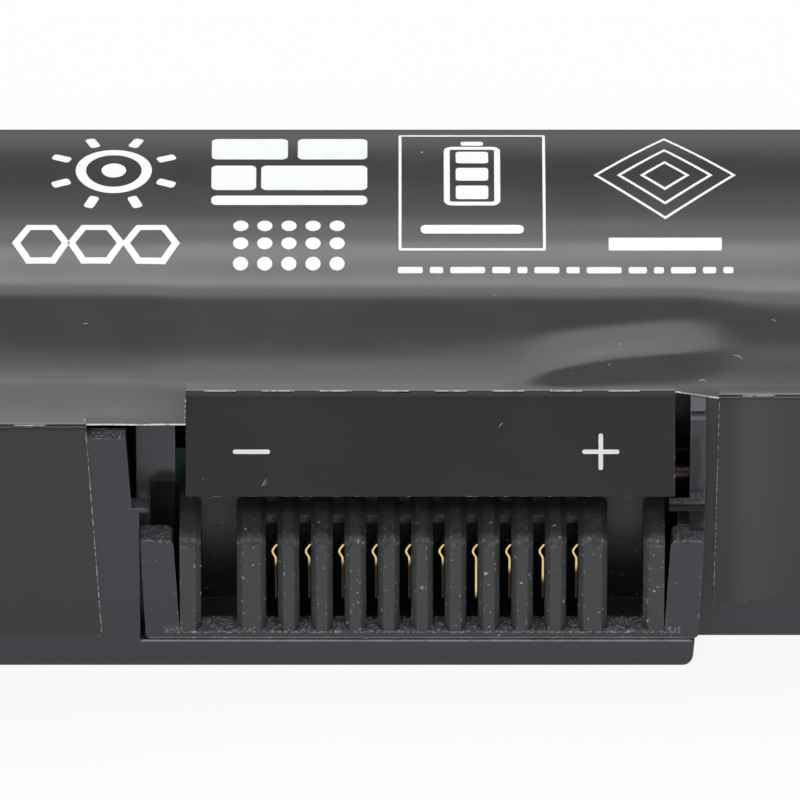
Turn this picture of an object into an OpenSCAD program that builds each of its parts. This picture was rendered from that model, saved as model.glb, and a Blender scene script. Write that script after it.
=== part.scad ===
// Slim laptop battery: four round cells in a row in an open tray, closed by one folded film.
// X runs along the pack, Y from the front (connector) to the back, Z up from the underside.
// The origin is the middle of the underside.

/* [Cells] */
// Number of cells in the row
cell_count = 4; // [2:1:4]
// Diameter of a cell over its sleeve
cell_d = 18.3; // [17.6:0.1:18.8]
// Length of a cell over its button
cell_l = 65; // [60:0.5:70]
// Room between two cells, for the folded link
cell_gap = 1.2; // [0.9:0.1:2]
// Room between the end cells and the end walls
end_room = 2.2; // [1.6:0.1:4]
// Play between the cells and the walls of their bay
cell_play = 0.2; // [0.1:0.05:0.5]
// Thickness of the foam pads under the cells
pad_t = 0.5; // [0.3:0.1:0.9]
// Width of the foam pads
pad_w = 4; // [3:0.5:6]
// Length of the foam pads
pad_l = 26; // [20:1:38]

/* [Tray] */
// Thickness of the outer walls
wall_t = 1; // [0.8:0.1:1.3]
// Thickness of the floor
floor_t = 1; // [0.8:0.1:1.6]
// How far the cells stand above the rim that the film lies on
crown = 0.95; // [0.6:0.05:1.1]
// Thickness of the wall between the channel and the cells
bay_wall_t = 0.8; // [0.6:0.1:1.1]
// Depth from the front face to that wall
channel_d = 7.5; // [7.4:0.1:10]
// How far the right-hand front wall stands behind the left-hand one
setback = 2.75; // [2.4:0.05:3.2]
// Radius of the upright outer corners
corner_r = 1.5; // [0.8:0.1:2.5]
// Radius along the bottom edges
bottom_r = 0.3; // [0.2:0.05:0.6]
// Half width of the forward block at its foot, to the right of the connector
block_foot_x = 16.3; // [16:0.05:16.5]
// Half width of the forward block at the top of the connector's frame
block_top_x = 16.9; // [16.7:0.05:17.3]
// Radius of the forward block's lower right corner
block_r = 1; // [0.6:0.1:1.4]
// Height of the lip under the connector's frame
lip_z = 2.1; // [1.9:0.05:2.3]
// Height of the cut ledges beside the connector
ledge_z = 12.5; // [12:0.1:13]
// Thickness of those ledges
ledge_t = 0.3; // [0.2:0.05:0.6]
// How far the back of the pocket beside the connector stands behind the front face
pocket_y = 3.6; // [3:0.1:4.2]
// Height of the pocket's upper edge
pocket_z = 13.3; // [12.8:0.1:14]
// Thickness of the cradle ribs under the cells
cradle_t = 1.2; // [0.8:0.1:2]
// Height of the cradle ribs
cradle_z = 6; // [4:0.5:8]
// Distance of the cradle ribs from a cell's ends
cradle_in = 13; // [10:1:16]

/* [Connector] */
// Number of contacts
pins = 10; // [6:1:10]
// Distance between two contacts
pitch = 2; // [1.9:0.02:2.04]
// Width of a contact slot
slot_w = 0.7; // [0.6:0.05:0.9]
// Width of the two guide slots
key_w = 2.15; // [1.9:0.05:2.3]
// Width of the ribs between a guide slot and a contact slot
key_rib_w = 1.75; // [1.5:0.05:1.9]
// Width of the outermost ribs
end_rib_w = 1.27; // [1.1:0.01:1.35]
// Depth of the facets along the edges of the ribs
facet = 0.375; // [0.25:0.025:0.45]
// Height of the top of the connector
conn_top = 9.9; // [9.6:0.05:10.1]
// Height of the slots' floor behind the frame's bar
slot_floor = 1.8; // [1.6:0.1:2.2]
// Thickness of the connector's back wall
conn_back_t = 1.2; // [1:0.1:1.6]
// Depth of the connector
conn_d = 5.4; // [5.2:0.05:5.6]
// How far the ribs stand behind the front face
conn_y = 0.1; // [0.05:0.05:0.3]
// Radius of the ribs' top front edge
rib_r = 0.5; // [0.3:0.05:0.8]
// Thickness of a contact
contact_t = 0.12; // [0.1:0.01:0.16]
// Width of a contact's blade, from front to back
blade_w = 1.2; // [0.9:0.1:1.5]
// How far a contact's bump stands out of its leg
bump = 0.34; // [0.25:0.02:0.38]

/* [Connector frame] */
// How far the frame stands behind the lip
frame_in = 0.12; // [0.08:0.02:0.2]
// Thickness of the frame, from front to back
frame_t = 1.4; // [1.2:0.05:1.6]
// Height of the frame's bar above its lower edge
bar_h = 0.65; // [0.5:0.05:0.8]
// Width of an arm at its foot
arm_foot_w = 2.1; // [1.9:0.05:2.15]
// Width of an arm at its top
arm_top_w = 2; // [1.8:0.05:2.1]
// Radius of the frame's lower corners
frame_r = 0.4; // [0.3:0.05:0.5]
// Radius of the arms' top inner corners
arm_r = 0.5; // [0.3:0.05:0.7]

/* [Film] */
// Thickness of the film
film_t = 0.15; // [0.1:0.01:0.2]
// Inner radius of the folds
fold_r = 0.3; // [0.2:0.05:0.45]
// Gap between the film and the crest of the cells
film_gap = 0.05; // [0.02:0.01:0.15]
// How far the film stays short of the pack's ends
film_short = 0.6; // [0.4:0.1:1.6]
// Height of the lower edge of the front and back tabs
tab_z = 2.6; // [2.2:0.1:4]
// Left edge of the flap over the connector
flap_x0 = -14.1; // [-14.4:0.05:-13.8]
// Right edge of the flap
flap_x1 = 15.1; // [14.8:0.05:15.4]
// Place of the flap's fold behind the front face
flap_y = 3.2; // [3:0.05:3.4]
// Length of the flap from its fold
flap_l = 6.35; // [6:0.05:6.8]
// Lean of the flap from upright
flap_lean = 30; // [20:1:38]
// Length of a slit in a fold
slit_l = 1.9; // [1:0.05:2.2]
// Distance between two slits
slit_pitch = 3.44; // [3.2:0.02:3.8]
// Distance of the first slit from the flap's left edge
slit_in = 1.1; // [0.5:0.1:2]

/* [Board] */
// Thickness of the circuit board
board_t = 1; // [0.8:0.1:1.2]
// Height of the board's top edge above the middle of the cells
board_over = 1.95; // [1.4:0.05:2.2]
// Left end of the board
board_x0 = -46; // [-60:1:-40]
// Right end of the board
board_x1 = 26; // [24:1:34]
// Diameter of the two power leads
lead_d = 1.3; // [1:0.1:1.4]
// Diameter of the thin sense leads
sense_d = 0.7; // [0.6:0.05:0.9]
// Thickness of the nickel strips
nickel_t = 0.15; // [0.1:0.01:0.2]
// Width of the nickel strips
nickel_w = 6; // [4:0.5:8]
// How far the nickel strips reach past the middle of a cell
nickel_over = 3; // [2:0.5:5]

/* [Hidden] */
$fn = 48;
eps = 0.01;
over = 5;
fit = 0.05;
bay_l = cell_count * cell_l + (cell_count - 1) * cell_gap + 2 * end_room;
pack_l = bay_l + 2 * wall_t;
end_x = pack_l / 2;
bay_y0 = channel_d + bay_wall_t;
bay_y1 = bay_y0 + cell_d + 2 * cell_play;
pack_d = bay_y1 + wall_t;
cell_y = (bay_y0 + bay_y1) / 2;
cell_z = floor_t + pad_t + cell_d / 2;
rim_z = cell_z + cell_d / 2 - crown;
rim_r = fold_r + fit;
bay_wall_z = rim_z - 0.1;
notch_wall_z = rim_z - 0.9;
crown_foot = 1;

// The crimped end of a cell: each step's way in from the sleeve, and back from the button's face
crimp_steps = [[0, 5.2], [0.7, 4.4], [0.7, 3.9], [0.15, 3.2], [0.15, 1.5], [0.6, 1.1], [2.2, 1.1],
    [2.2, 1.4]];
base_r = 0.5;
button_r = 3.1;
button_foot_r = 3.4;
button_h = 1.1;
ring_t = 0.25;
ring_in = 0.5;
ring_hole_r = 4.4;

// Ways through the bay wall for the nickel strips
way_play = 0.4;
way_w = 3;
link_x = [for (i = [1:cell_count - 1]) cell_x(i) + cell_l + cell_gap / 2];
tab_place = bay_l / 2 - end_room / 2 - 0.1;
tab_out = 1.6;

// The connector's slots, from its middle
ribs_half = (pins - 1) * pitch / 2 + slot_w / 2;
key_x = ribs_half + key_rib_w + key_w / 2;
conn_half = key_x + key_w / 2 + end_rib_w;
conn_z = lip_z + bar_h;
conn_y1 = conn_y + conn_d;
slot_y1 = conn_y1 - conn_back_t;
bar_y1 = frame_in + frame_t;
frame_lean = 0.28;
arm_step = 0.3;
nub_d = 1.4;
nub_h = 0.55;
nub_drop = 0.45;

// The contacts
leg_in = 0.12;
leg_x = slot_w / 2 - leg_in;
blade_y = 0.9;
tail_z = 4.7;
tail_h = 0.6;
tail_out = 0.5;
knee_z = 7.75;
knee_r = 0.3;
bump_z = 8.35;
bump_r = 0.24;
tip_z = 9;
tip_in = 0.02;
tail_y1 = conn_y1 + board_t + tail_out;
hole_play = 0.2;

// The cut-outs beside the connector
arm_x = block_top_x - 0.02;
face_w = 0.5;
face_lean = 0.3;
notch_x = 20.4;
panel_y = 1.6;
panel_t = 0.8;
panel_x0 = arm_x + 0.2;
panel_x1 = -flap_x0 + 0.65;
pocket_gap = 0.3;
left_ledge_w = 0.6;
ledge_gap = 0.25;
post_w = 0.9;
post_drop = 0.25;

// The film
film_mid = rim_z + film_t / 2;
bend_r = fold_r + film_t / 2;
crest_r = cell_d / 2 + film_gap + film_t / 2;
film_x1 = end_x - film_short;
left_tab_x = 20;
right_tab_x = 17.7;
tab_slant = 0.8;
right_slant = 0.2;
right_tab_z = tab_z + 0.9;
right_rise_x = 22.2;
left_cut_y = 0.15;
right_cut_y = setback - film_t;
slit_w = 0.12;
slit_drop = 0.12;
left_slit_x = 24.3;
right_slit_x = 19.1;
tab_top = film_mid - 1;
crest = [cell_y, cell_z];
rise_from = [bay_y0 - bay_wall_t / 2, film_mid];
fall_to = [pack_d - 1.2, film_mid];
rise_a = atan2(crest[1] - rise_from[1], crest[0] - rise_from[0])
    + asin(crest_r / norm(crest - rise_from));
fall_a = atan2(crest[1] - fall_to[1], fall_to[0] - crest[0])
    + asin(crest_r / norm(crest - fall_to));

// The board and its guides
board_y = conn_y1;
board_z0 = floor_t + fit;
board_top = cell_z + board_over;
guide_l = 1.5;
guide_z = 7;
guide_w = 0.9;
guide_back_w = 0.7;
sheet_t = 0.23;
sheet_gap = 0.02;
sheet_over = 4;

// Parts on the board: width, height and thickness
chip_z = 7.2;
chip_lift = 0.1;
chip_leg_l = 0.8;
chip_leg_t = 0.25;
gauge_x = -29;
gauge_size = [7.8, 4.4, 1];
protection_x = -38.5;
protection_size = [4.4, 4.4, 1];
fine_pitch = 0.65;
mosfet_x = -21.5;
mosfet_size = [4.9, 2.4, 1.1];
mosfet_pitch = 1.27;
charge_drop = 3;
discharge_rise = 2.2;
resistor_in = 8;
resistor_z = 7.4;
resistor_size = [5, 2.5, 0.6];
fuse_z = 3;
fuse_size = [5, 2.6, 0.9];
capacitor_count = 5;
capacitor_pitch = 2;
capacitor_z = 2;
capacitor_size = [1.2, 0.8, 0.6];

// The thermistor and the leads
thermistor_x = -34.6;
bead_d = 1.6;
bead_in = 0.6;
leg_l = 2.2;
leg_d = 0.3;
leg_gap = 0.7;
lead_z = conn_top + 0.95 + lead_d / 2;
lead_y = board_y - 0.12 - lead_d / 2;
red_end_x = conn_half - 1.2;
black_end_x = board_x0 + 2.6;
sense_y = board_y + board_t + fit + sense_d / 2;
sense_z = board_top + 0.25 + sense_d / 2;
sense_reach = 3;
sense_run = 14;

CONTACTS = [for (i = [1:pins]) str("contact_", i)];
CELLS = [for (i = [1:cell_count]) str("cell_", i)];
RINGS = [for (i = [1:cell_count]) str("insulator_ring_", i)];
PADS = [for (i = [1:cell_count]) str("cell_pad_", i)];
LINKS = [for (i = [1:cell_count - 1]) str("nickel_link_", i)];
SENSES = [for (i = [1:cell_count - 1]) str("sense_lead_", i)];

function arc(cx, cy, r, a0, a1, n) =
    [for (i = [0:n]) let (a = a0 + (a1 - a0) * i / n) [cx + r * cos(a), cy + r * sin(a)]];

function flip(p) = [for (i = [len(p) - 1:-1:0]) p[i]];

// Left end of a cell
function cell_x(i) = -bay_l / 2 + end_room + (i - 1) * (cell_l + cell_gap);

// Unit normal of a path at one point, lengthened where the path turns
function normal_at(p, i) =
    let (a = p[max(i - 1, 0)], b = p[i], c = p[min(i + 1, len(p) - 1)])
    let (u = i == 0 ? (c - b) / norm(c - b) : (b - a) / norm(b - a))
    let (v = i == len(p) - 1 ? u : (c - b) / norm(c - b))
    let (s = u + v)
    let (m = [-s[1], s[0]] / norm(s))
    m / (m * [-u[1], u[0]]);

function ribbon(p, t) = concat(
    [for (i = [0:len(p) - 1]) p[i] + normal_at(p, i) * t / 2],
    flip([for (i = [0:len(p) - 1]) p[i] - normal_at(p, i) * t / 2]));

// From bench coordinates, with Y = 0 at the front face, to the pack's own origin
module seat() translate([0, -pack_d / 2, 0]) children();

module box(x0, x1, y0, y1, z0, z1)
    translate([x0, y0, z0]) cube([x1 - x0, y1 - y0, z1 - z0]);

// Outline in Y and Z, run along X
module along_x(x0, x1)
    translate([x0, 0, 0]) rotate([90, 0, 90]) linear_extrude(x1 - x0) children();

// Outline in X and Z, run along Y
module along_y(y0, y1)
    translate([0, y1, 0]) rotate([90, 0, 0]) linear_extrude(y1 - y0) children();

module rounded_plan(x0, x1, y0, y1, r) {
    translate([x0 + r, y0]) square([x1 - x0 - 2 * r, y1 - y0]);
    translate([x0, y0 + r]) square([x1 - x0, y1 - y0 - 2 * r]);
    for (x = [x0 + r, x1 - r])
        for (y = [y0 + r, y1 - r])
            translate([x, y]) circle(r);
}

// One block of the tray: rounded corners, bottom edges, and rims for the film's folds
module tray_block(x0, x1, y0, r) {
    intersection() {
        linear_extrude(rim_z) rounded_plan(x0, x1, y0, pack_d, r);
        along_x(x0, x1) polygon(concat(
            arc(y0 + bottom_r, bottom_r, bottom_r, 180, 270, 4),
            arc(pack_d - bottom_r, bottom_r, bottom_r, 270, 360, 4),
            arc(pack_d - rim_r, rim_z - rim_r, rim_r, 0, 90, 6),
            arc(y0 + rim_r, rim_z - rim_r, rim_r, 90, 180, 6)));
    }
}

// Front view of the forward block, with its leaning right-hand side
module block_outline() polygon(concat(
    [[-end_x, 0]],
    arc(block_foot_x - block_r, block_r, block_r, 270, 360, 6),
    [[block_top_x, conn_top], [block_top_x, rim_z], [-end_x, rim_z]]));

module tray_outside() {
    intersection() {
        tray_block(-end_x, block_top_x + corner_r, 0, corner_r);
        along_y(-over, pack_d + over) block_outline();
    }
    tray_block(block_foot_x - block_r - corner_r, end_x, setback, corner_r);
}

module tray_inside() {
    box(-end_x + wall_t, block_foot_x - wall_t, wall_t, channel_d, floor_t, rim_z + over);
    box(block_foot_x - wall_t - eps, end_x - wall_t, setback + wall_t, channel_d,
        floor_t, rim_z + over);
    box(block_foot_x - wall_t - eps, block_top_x - post_w, wall_t, channel_d, conn_top + fit,
        rim_z + over);
    box(-end_x + wall_t, end_x - wall_t, bay_y0, bay_y1, floor_t, rim_z + over);
    box(-end_x + wall_t, end_x - wall_t, channel_d - eps, bay_y0 + eps, bay_wall_z, rim_z + over);
}

// Ways through the bay wall for the folded links and the end tabs
module strip_ways() {
    for (x = concat(link_x, [-tab_place, tab_place]))
        box(x - way_w / 2, x + way_w / 2, channel_d - eps, bay_y0 + eps,
            cell_z - nickel_w / 2 - way_play, rim_z + over);
}

// Window in the front wall that takes the connector and its frame
module front_window() {
    box(-arm_x - fit, block_top_x + over, -over, bar_y1, lip_z, rim_z + over);
    box(-arm_x - fit, block_foot_x - wall_t, -over, wall_t + eps, lip_z, rim_z + over);
    along_y(-over, wall_t + eps)
        polygon([[-arm_x, ledge_z], [-arm_x, rim_z + over], [-arm_x - face_w - face_lean, rim_z + over],
            [-arm_x - face_w - face_lean, notch_wall_z], [-arm_x - face_w, ledge_z]]);
    box(-notch_x, -arm_x, -over, wall_t + eps, notch_wall_z, rim_z + over);
}

module ledges() {
    box(-arm_x - fit, -arm_x + left_ledge_w, 0, wall_t, ledge_z - ledge_t, ledge_z);
    box(conn_half + ledge_gap, block_top_x, frame_in, wall_t, ledge_z - ledge_t, ledge_z);
}

// Side of the forward block above the frame's right arm
module post()
    box(block_top_x - post_w, block_top_x, wall_t, setback + wall_t, conn_top + fit,
        rim_z - post_drop);

// Panel left of the connector, on a web that stands beside a deeper pocket
module side_panel() {
    box(-panel_x0, -panel_x1, panel_y, panel_y + panel_t, pocket_z, rim_z);
    box(-panel_x0, -panel_x0 + panel_t, panel_y, pocket_y + panel_t, floor_t - eps, rim_z);
    box(-panel_x0, -conn_half - pocket_gap, pocket_y, pocket_y + panel_t, floor_t - eps, pocket_z);
}

// Crowned tops of the end walls, which carry the film's ends
module end_crowns()
    for (x = [-end_x, end_x - wall_t])
        along_x(x, x + wall_t) polygon(concat(
            [[fall_to[0], rim_z - crown_foot], [fall_to[0], rim_z - fit]],
            arc(crest[0], crest[1], crest_r - film_t / 2 - fit, 90 - fall_a, 90 + rise_a, 8),
            [[rise_from[0], rim_z - fit], [rise_from[0], rim_z - crown_foot]]));

// Ribs with round seats that keep the cells in line
module cradles()
    for (i = [1:cell_count])
        for (x = [cell_x(i) + cradle_in, cell_x(i) + cell_l - cradle_in])
            difference() {
                box(x - cradle_t / 2, x + cradle_t / 2, bay_y0 - eps, bay_y1 + eps,
                    floor_t - eps, cradle_z);
                translate([x - cradle_t, cell_y, cell_z]) rotate([0, 90, 0])
                    cylinder(d = cell_d + 2 * cell_play, h = 2 * cradle_t);
            }

// Slotted posts that hold the board's ends
module board_guides()
    for (x = [board_x0, board_x1])
        difference() {
            box(x - guide_l, x + guide_l, board_y - guide_w, board_y + board_t + guide_back_w,
                floor_t - eps, guide_z);
            box(x > 0 ? x - over : x - fit, x > 0 ? x + fit : x + over,
                board_y - fit, board_y + board_t + fit, floor_t, guide_z + over);
        }

module bottom_tray() color([0.05, 0.052, 0.056]) seat() {
    difference() {
        tray_outside();
        tray_inside();
        front_window();
        strip_ways();
    }
    ledges();
    post();
    side_panel();
    end_crowns();
    cradles();
    board_guides();
}

// U-shaped frame round the connector: two leaning arms on a bar
module connector_frame() color([0.058, 0.06, 0.065]) seat() {
    foot_out = arm_x - frame_lean;
    foot_in = foot_out - arm_foot_w;
    top_in = arm_x - arm_top_w;
    along_y(frame_in, bar_y1)
        difference() {
            polygon(concat(
                arc(-foot_out + frame_r, lip_z + fit + frame_r, frame_r, 180, 270, 4),
                arc(foot_out - frame_r, lip_z + fit + frame_r, frame_r, 270, 360, 4),
                [[arm_x, conn_top]],
                arc(top_in + arm_r, conn_top - arm_r, arm_r, 90, 180, 4),
                [[conn_half + fit, conn_z + arm_step], [conn_half + fit, conn_z],
                    [-conn_half - fit, conn_z], [-conn_half - fit, conn_z + arm_step]],
                arc(-top_in - arm_r, conn_top - arm_r, arm_r, 0, 90, 4),
                [[-arm_x, conn_top]]));
            translate([-foot_in, -over]) square([2 * foot_in, over]);
        }
}

// Comb with slots that are open to the front and the top
module connector_body() color([0.07, 0.072, 0.078]) seat() {
    difference() {
        along_x(-conn_half, conn_half) polygon(concat(
            [[conn_y, conn_z + fit], [bar_y1 + fit, conn_z + fit], [bar_y1 + fit, floor_t + fit],
                [conn_y1, floor_t + fit], [conn_y1, conn_top]],
            arc(conn_y + rib_r, conn_top - rib_r, rib_r, 90, 180, 5)));
        for (i = [0:pins - 1])
            translate([(i - (pins - 1) / 2) * pitch, 0, 0]) comb_slot(slot_w, conn_y1 + over);
        for (x = [-key_x, key_x])
            translate([x, 0, 0]) comb_slot(key_w, slot_y1);
    }
    for (i = [0:pins - 1])
        translate([(i - (pins - 1) / 2) * pitch, 0, 0])
            box(-slot_w / 2 - eps, slot_w / 2 + eps, slot_y1 - nub_d, slot_y1 + eps,
                conn_top - nub_drop - nub_h, conn_top - nub_drop);
}

// One slot with its facets along the front and the top edges of the ribs
module comb_slot(w, y1) {
    box(-w / 2, w / 2, -over, y1, slot_floor, conn_top + over);
    translate([0, 0, slot_floor]) linear_extrude(conn_top)
        polygon([[-w / 2 - facet, conn_y - eps], [w / 2 + facet, conn_y - eps],
            [w / 2 - eps, conn_y + facet], [-w / 2 + eps, conn_y + facet]]);
    along_y(-over, y1)
        polygon([[-w / 2 - facet, conn_top + eps], [w / 2 + facet, conn_top + eps],
            [w / 2 - eps, conn_top - facet], [-w / 2 + eps, conn_top - facet]]);
}

// Sprung strip: a straight leg with a bump near its tip, and a tail through the board
module contact(i) color([0.8, 0.62, 0.28]) seat()
    translate([(i - 1 - (pins - 1) / 2) * pitch, 0, 0]) {
        along_y(blade_y, blade_y + blade_w)
            polygon(ribbon(concat(
                [[leg_x, tail_z]],
                arc(leg_x - knee_r, knee_z, knee_r, 0, 35, 3),
                arc(leg_x - bump + bump_r, bump_z, bump_r, 235, 125, 6),
                [[leg_x - tip_in, tip_z]]), contact_t));
        box(leg_x - contact_t / 2, leg_x + contact_t / 2, blade_y, tail_y1, tail_z, tail_z + tail_h);
    }

// The film's folded front end: a tab or flap that turns by the given angle into the flat top
function front_end(y, turn, l) = concat(
    [[y - l * cos(turn), film_mid - l * sin(turn)]],
    arc(y + bend_r * tan(turn / 2), film_mid - bend_r, bend_r, 90 + turn, 90, 6));

// The film's top and back: over the crest of the cells and down the back wall
function top_path() = concat(
    [rise_from],
    arc(crest[0], crest[1], crest_r, 90 + rise_a, 90 - fall_a, 8),
    [fall_to],
    arc(pack_d + film_t / 2 - bend_r, film_mid - bend_r, bend_r, 90, 0, 6),
    [[pack_d + film_t / 2, tab_z]]);

module film_zone(x0, x1, front) along_x(x0, x1) polygon(ribbon(concat(front, top_path()), film_t));

module label_film() color([0.045, 0.043, 0.042]) seat() {
    difference() {
        film_zone(-film_x1, -left_tab_x, front_end(-film_t / 2, 90, film_mid - tab_z));
        tab_slit(-left_slit_x, 0);
    }
    film_zone(-left_tab_x, flap_x0, [[left_cut_y, film_mid]]);
    difference() {
        film_zone(flap_x0, flap_x1, front_end(flap_y, 90 - flap_lean, flap_l));
        for (x = [flap_x0 + slit_in:slit_pitch:flap_x1 - slit_l])
            box(x, x + slit_l, flap_y - slit_w, flap_y + slit_w, film_mid - 1, film_mid + 1);
    }
    difference() {
        film_zone(flap_x1, right_tab_x, [[right_cut_y, film_mid]]);
        linear_extrude(film_mid + over)
            polygon([[flap_x1 - eps, right_cut_y - over], [right_tab_x, right_cut_y - over],
                [right_tab_x, right_cut_y], [flap_x1 - eps, flap_y]]);
    }
    difference() {
        film_zone(right_tab_x, film_x1,
            front_end(setback - film_t / 2, 90, film_mid - right_tab_z));
        tab_slit(right_slit_x, setback);
    }
    along_y(-film_t, 0)
        polygon([[-left_tab_x - eps, tab_top], [-left_tab_x + tab_slant, tab_z],
            [-left_tab_x - eps, tab_z]]);
    along_y(setback - film_t, setback)
        polygon([[right_tab_x + eps, tab_top], [right_tab_x - right_slant, tab_z],
            [right_rise_x, right_tab_z + eps], [right_tab_x + eps, right_tab_z + eps]]);
}

// Slit in the fold of a front tab
module tab_slit(x, y)
    box(x, x + slit_l, y - over, y + fold_r / 3, film_mid - slit_drop, film_mid + over);

// Upright board behind the connector, drilled for the contacts' tails
module circuit_board() color([0.05, 0.22, 0.1]) seat()
    difference() {
        box(board_x0, board_x1, board_y, board_y + board_t, board_z0, board_top);
        for (i = [0:pins - 1])
            translate([(i - (pins - 1) / 2) * pitch + leg_x, board_y - over, tail_z + tail_h / 2])
                rotate([-90, 0, 0]) cylinder(d = tail_h + hole_play, h = 3 * over);
    }

// Block that lies on the board's front face, from its left lower corner
module on_board(x, z, size, lift = 0)
    box(x, x + size[0], board_y - size[2], board_y - lift, z, z + size[1]);

// Chip with its legs, from the middle of its body
module chip(x, z, size, legs, leg_pitch) {
    leg_w = 0.44 * leg_pitch;
    on_board(x - size[0] / 2, z - size[1] / 2, size, chip_lift);
    for (i = [0:legs - 1])
        on_board(x + (i - (legs - 1) / 2) * leg_pitch - leg_w / 2, z - size[1] / 2 - chip_leg_l,
            [leg_w, size[1] + 2 * chip_leg_l, chip_leg_t]);
}

module gauge_chip() color([0.06, 0.06, 0.06]) seat()
    chip(gauge_x, chip_z, gauge_size, 12, fine_pitch);

module protection_chip() color([0.06, 0.06, 0.06]) seat()
    chip(protection_x, chip_z, protection_size, 6, fine_pitch);

module charge_mosfet() color([0.07, 0.07, 0.07]) seat()
    chip(mosfet_x, chip_z - charge_drop, mosfet_size, 4, mosfet_pitch);

module discharge_mosfet() color([0.07, 0.07, 0.07]) seat()
    chip(mosfet_x, chip_z + discharge_rise, mosfet_size, 4, mosfet_pitch);

module sense_resistor() color([0.12, 0.12, 0.12]) seat()
    on_board(board_x1 - resistor_in, resistor_z, resistor_size);

module fuse() color([0.75, 0.73, 0.68]) seat()
    on_board(board_x1 - resistor_in, fuse_z, fuse_size);

// Row of small capacitors under the gauge chip
module capacitors() color([0.55, 0.45, 0.32]) seat()
    for (i = [0:capacitor_count - 1])
        on_board(gauge_x - 4.4 + i * capacitor_pitch, capacitor_z, capacitor_size);

// Bead on two thin legs, lying against a cell from the board's top edge
module thermistor() color([0.1, 0.1, 0.12]) seat() {
    z = board_top - bead_in;
    translate([thermistor_x, board_y - bead_d / 2 - fit, z]) sphere(d = bead_d);
    for (x = [-leg_gap / 2, leg_gap / 2])
        translate([thermistor_x + x, board_y - bead_d / 2, z - leg_l]) {
            cylinder(d = leg_d, h = leg_l);
            sphere(d = leg_d);
            rotate([-90, 0, 0]) cylinder(d = leg_d, h = bead_d / 2);
        }
}

// Sleeved steel can with its crimped shoulder and raised button
module cell(i) color([0.1, 0.25, 0.5]) seat() {
    r = cell_d / 2;
    translate([cell_x(i), cell_y, cell_z]) rotate([0, 90, 0])
        rotate_extrude() polygon(concat(
            [[0, 0]],
            arc(r - base_r, base_r, base_r, 270, 360, 3),
            [for (s = crimp_steps) [r - s[0], cell_l - s[1]]],
            [[button_foot_r, cell_l - crimp_steps[len(crimp_steps) - 1][1]], [button_r, cell_l],
                [0, cell_l]]));
}

// Paper washer on the crimped rim round the button
module insulator_ring(i) color([0.85, 0.85, 0.82]) seat()
    translate([cell_x(i) + cell_l - button_h, cell_y, cell_z]) rotate([0, 90, 0])
        difference() {
            cylinder(r = cell_d / 2 - ring_in, h = ring_t);
            translate([0, 0, -over]) cylinder(r = ring_hole_r, h = 2 * over);
        }

// Foam strip between a cell and the floor
module cell_pad(i) color([0.3, 0.3, 0.3]) seat()
    translate([cell_x(i) + cell_l / 2, cell_y, floor_t])
        box(-pad_l / 2, pad_l / 2, -pad_w / 2, pad_w / 2, 0, pad_t);

// Folded strip that joins one cell's button to the next cell's base
module nickel_link(i) color([0.72, 0.7, 0.66]) seat() {
    x = link_x[i - 1];
    bend = cell_gap / 2 - nickel_t / 2;
    translate([0, 0, cell_z - nickel_w / 2]) linear_extrude(nickel_w)
        polygon(ribbon(concat(
            [[x - bend, cell_y + nickel_over]],
            arc(x, channel_d + bend + nickel_t, bend, 180, 360, 8),
            [[x + bend, cell_y + nickel_over]]), nickel_t));
}

// Strip from an end cell forward into the channel
module end_tab(side) {
    x = side * (bay_l / 2 - end_room + nickel_t / 2);
    box(x - nickel_t / 2, x + nickel_t / 2, channel_d - tab_out, cell_y + nickel_over,
        cell_z - nickel_w / 2, cell_z + nickel_w / 2);
}

module positive_tab() color([0.72, 0.7, 0.66]) seat() end_tab(1);

module negative_tab() color([0.72, 0.7, 0.66]) seat() end_tab(-1);

module positive_lead() color([0.6, 0.08, 0.06]) seat()
    straight_lead(bay_l / 2 - end_room, red_end_x, lead_y, lead_z, lead_d);

module negative_lead() color([0.05, 0.05, 0.05]) seat()
    straight_lead(-bay_l / 2 + end_room, black_end_x, lead_y, lead_z, lead_d);

// Lead that runs straight along the channel from an end tab to a pad on the board
module straight_lead(x0, x1, y, z, d)
    translate([min(x0, x1), y, z]) rotate([0, 90, 0]) cylinder(d = d, h = abs(x0 - x1));

// Thin lead from a link's fold along the channel to the board's top edge
module sense_lead(i) color([0.85, 0.75, 0.2]) seat() {
    x = link_x[i - 1];
    inner = x < board_x0 ? board_x0 + sense_reach
        : x > board_x1 ? board_x1 - sense_reach : x - sense_run;
    straight_lead(x, inner, sense_y, sense_z, sense_d);
}

// Stiff paper between the soldered side of the board and the cells
module insulation_sheet() color([0.8, 0.78, 0.7]) seat()
    box(board_x0 - sheet_over, board_x1 + sheet_over, channel_d - sheet_t - sheet_gap,
        channel_d - sheet_gap, board_z0, board_top);

bottom_tray();
connector_frame();
connector_body();
label_film();
circuit_board();
gauge_chip();
protection_chip();
charge_mosfet();
discharge_mosfet();
sense_resistor();
fuse();
capacitors();
thermistor();
insulation_sheet();
positive_tab();
negative_tab();
positive_lead();
negative_lead();
for (i = [1:pins]) contact(i);
for (i = [1:cell_count]) cell(i);
for (i = [1:cell_count]) insulator_ring(i);
for (i = [1:cell_count]) cell_pad(i);
for (i = [1:cell_count - 1]) nickel_link(i);
for (i = [1:cell_count - 1]) sense_lead(i);
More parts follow.
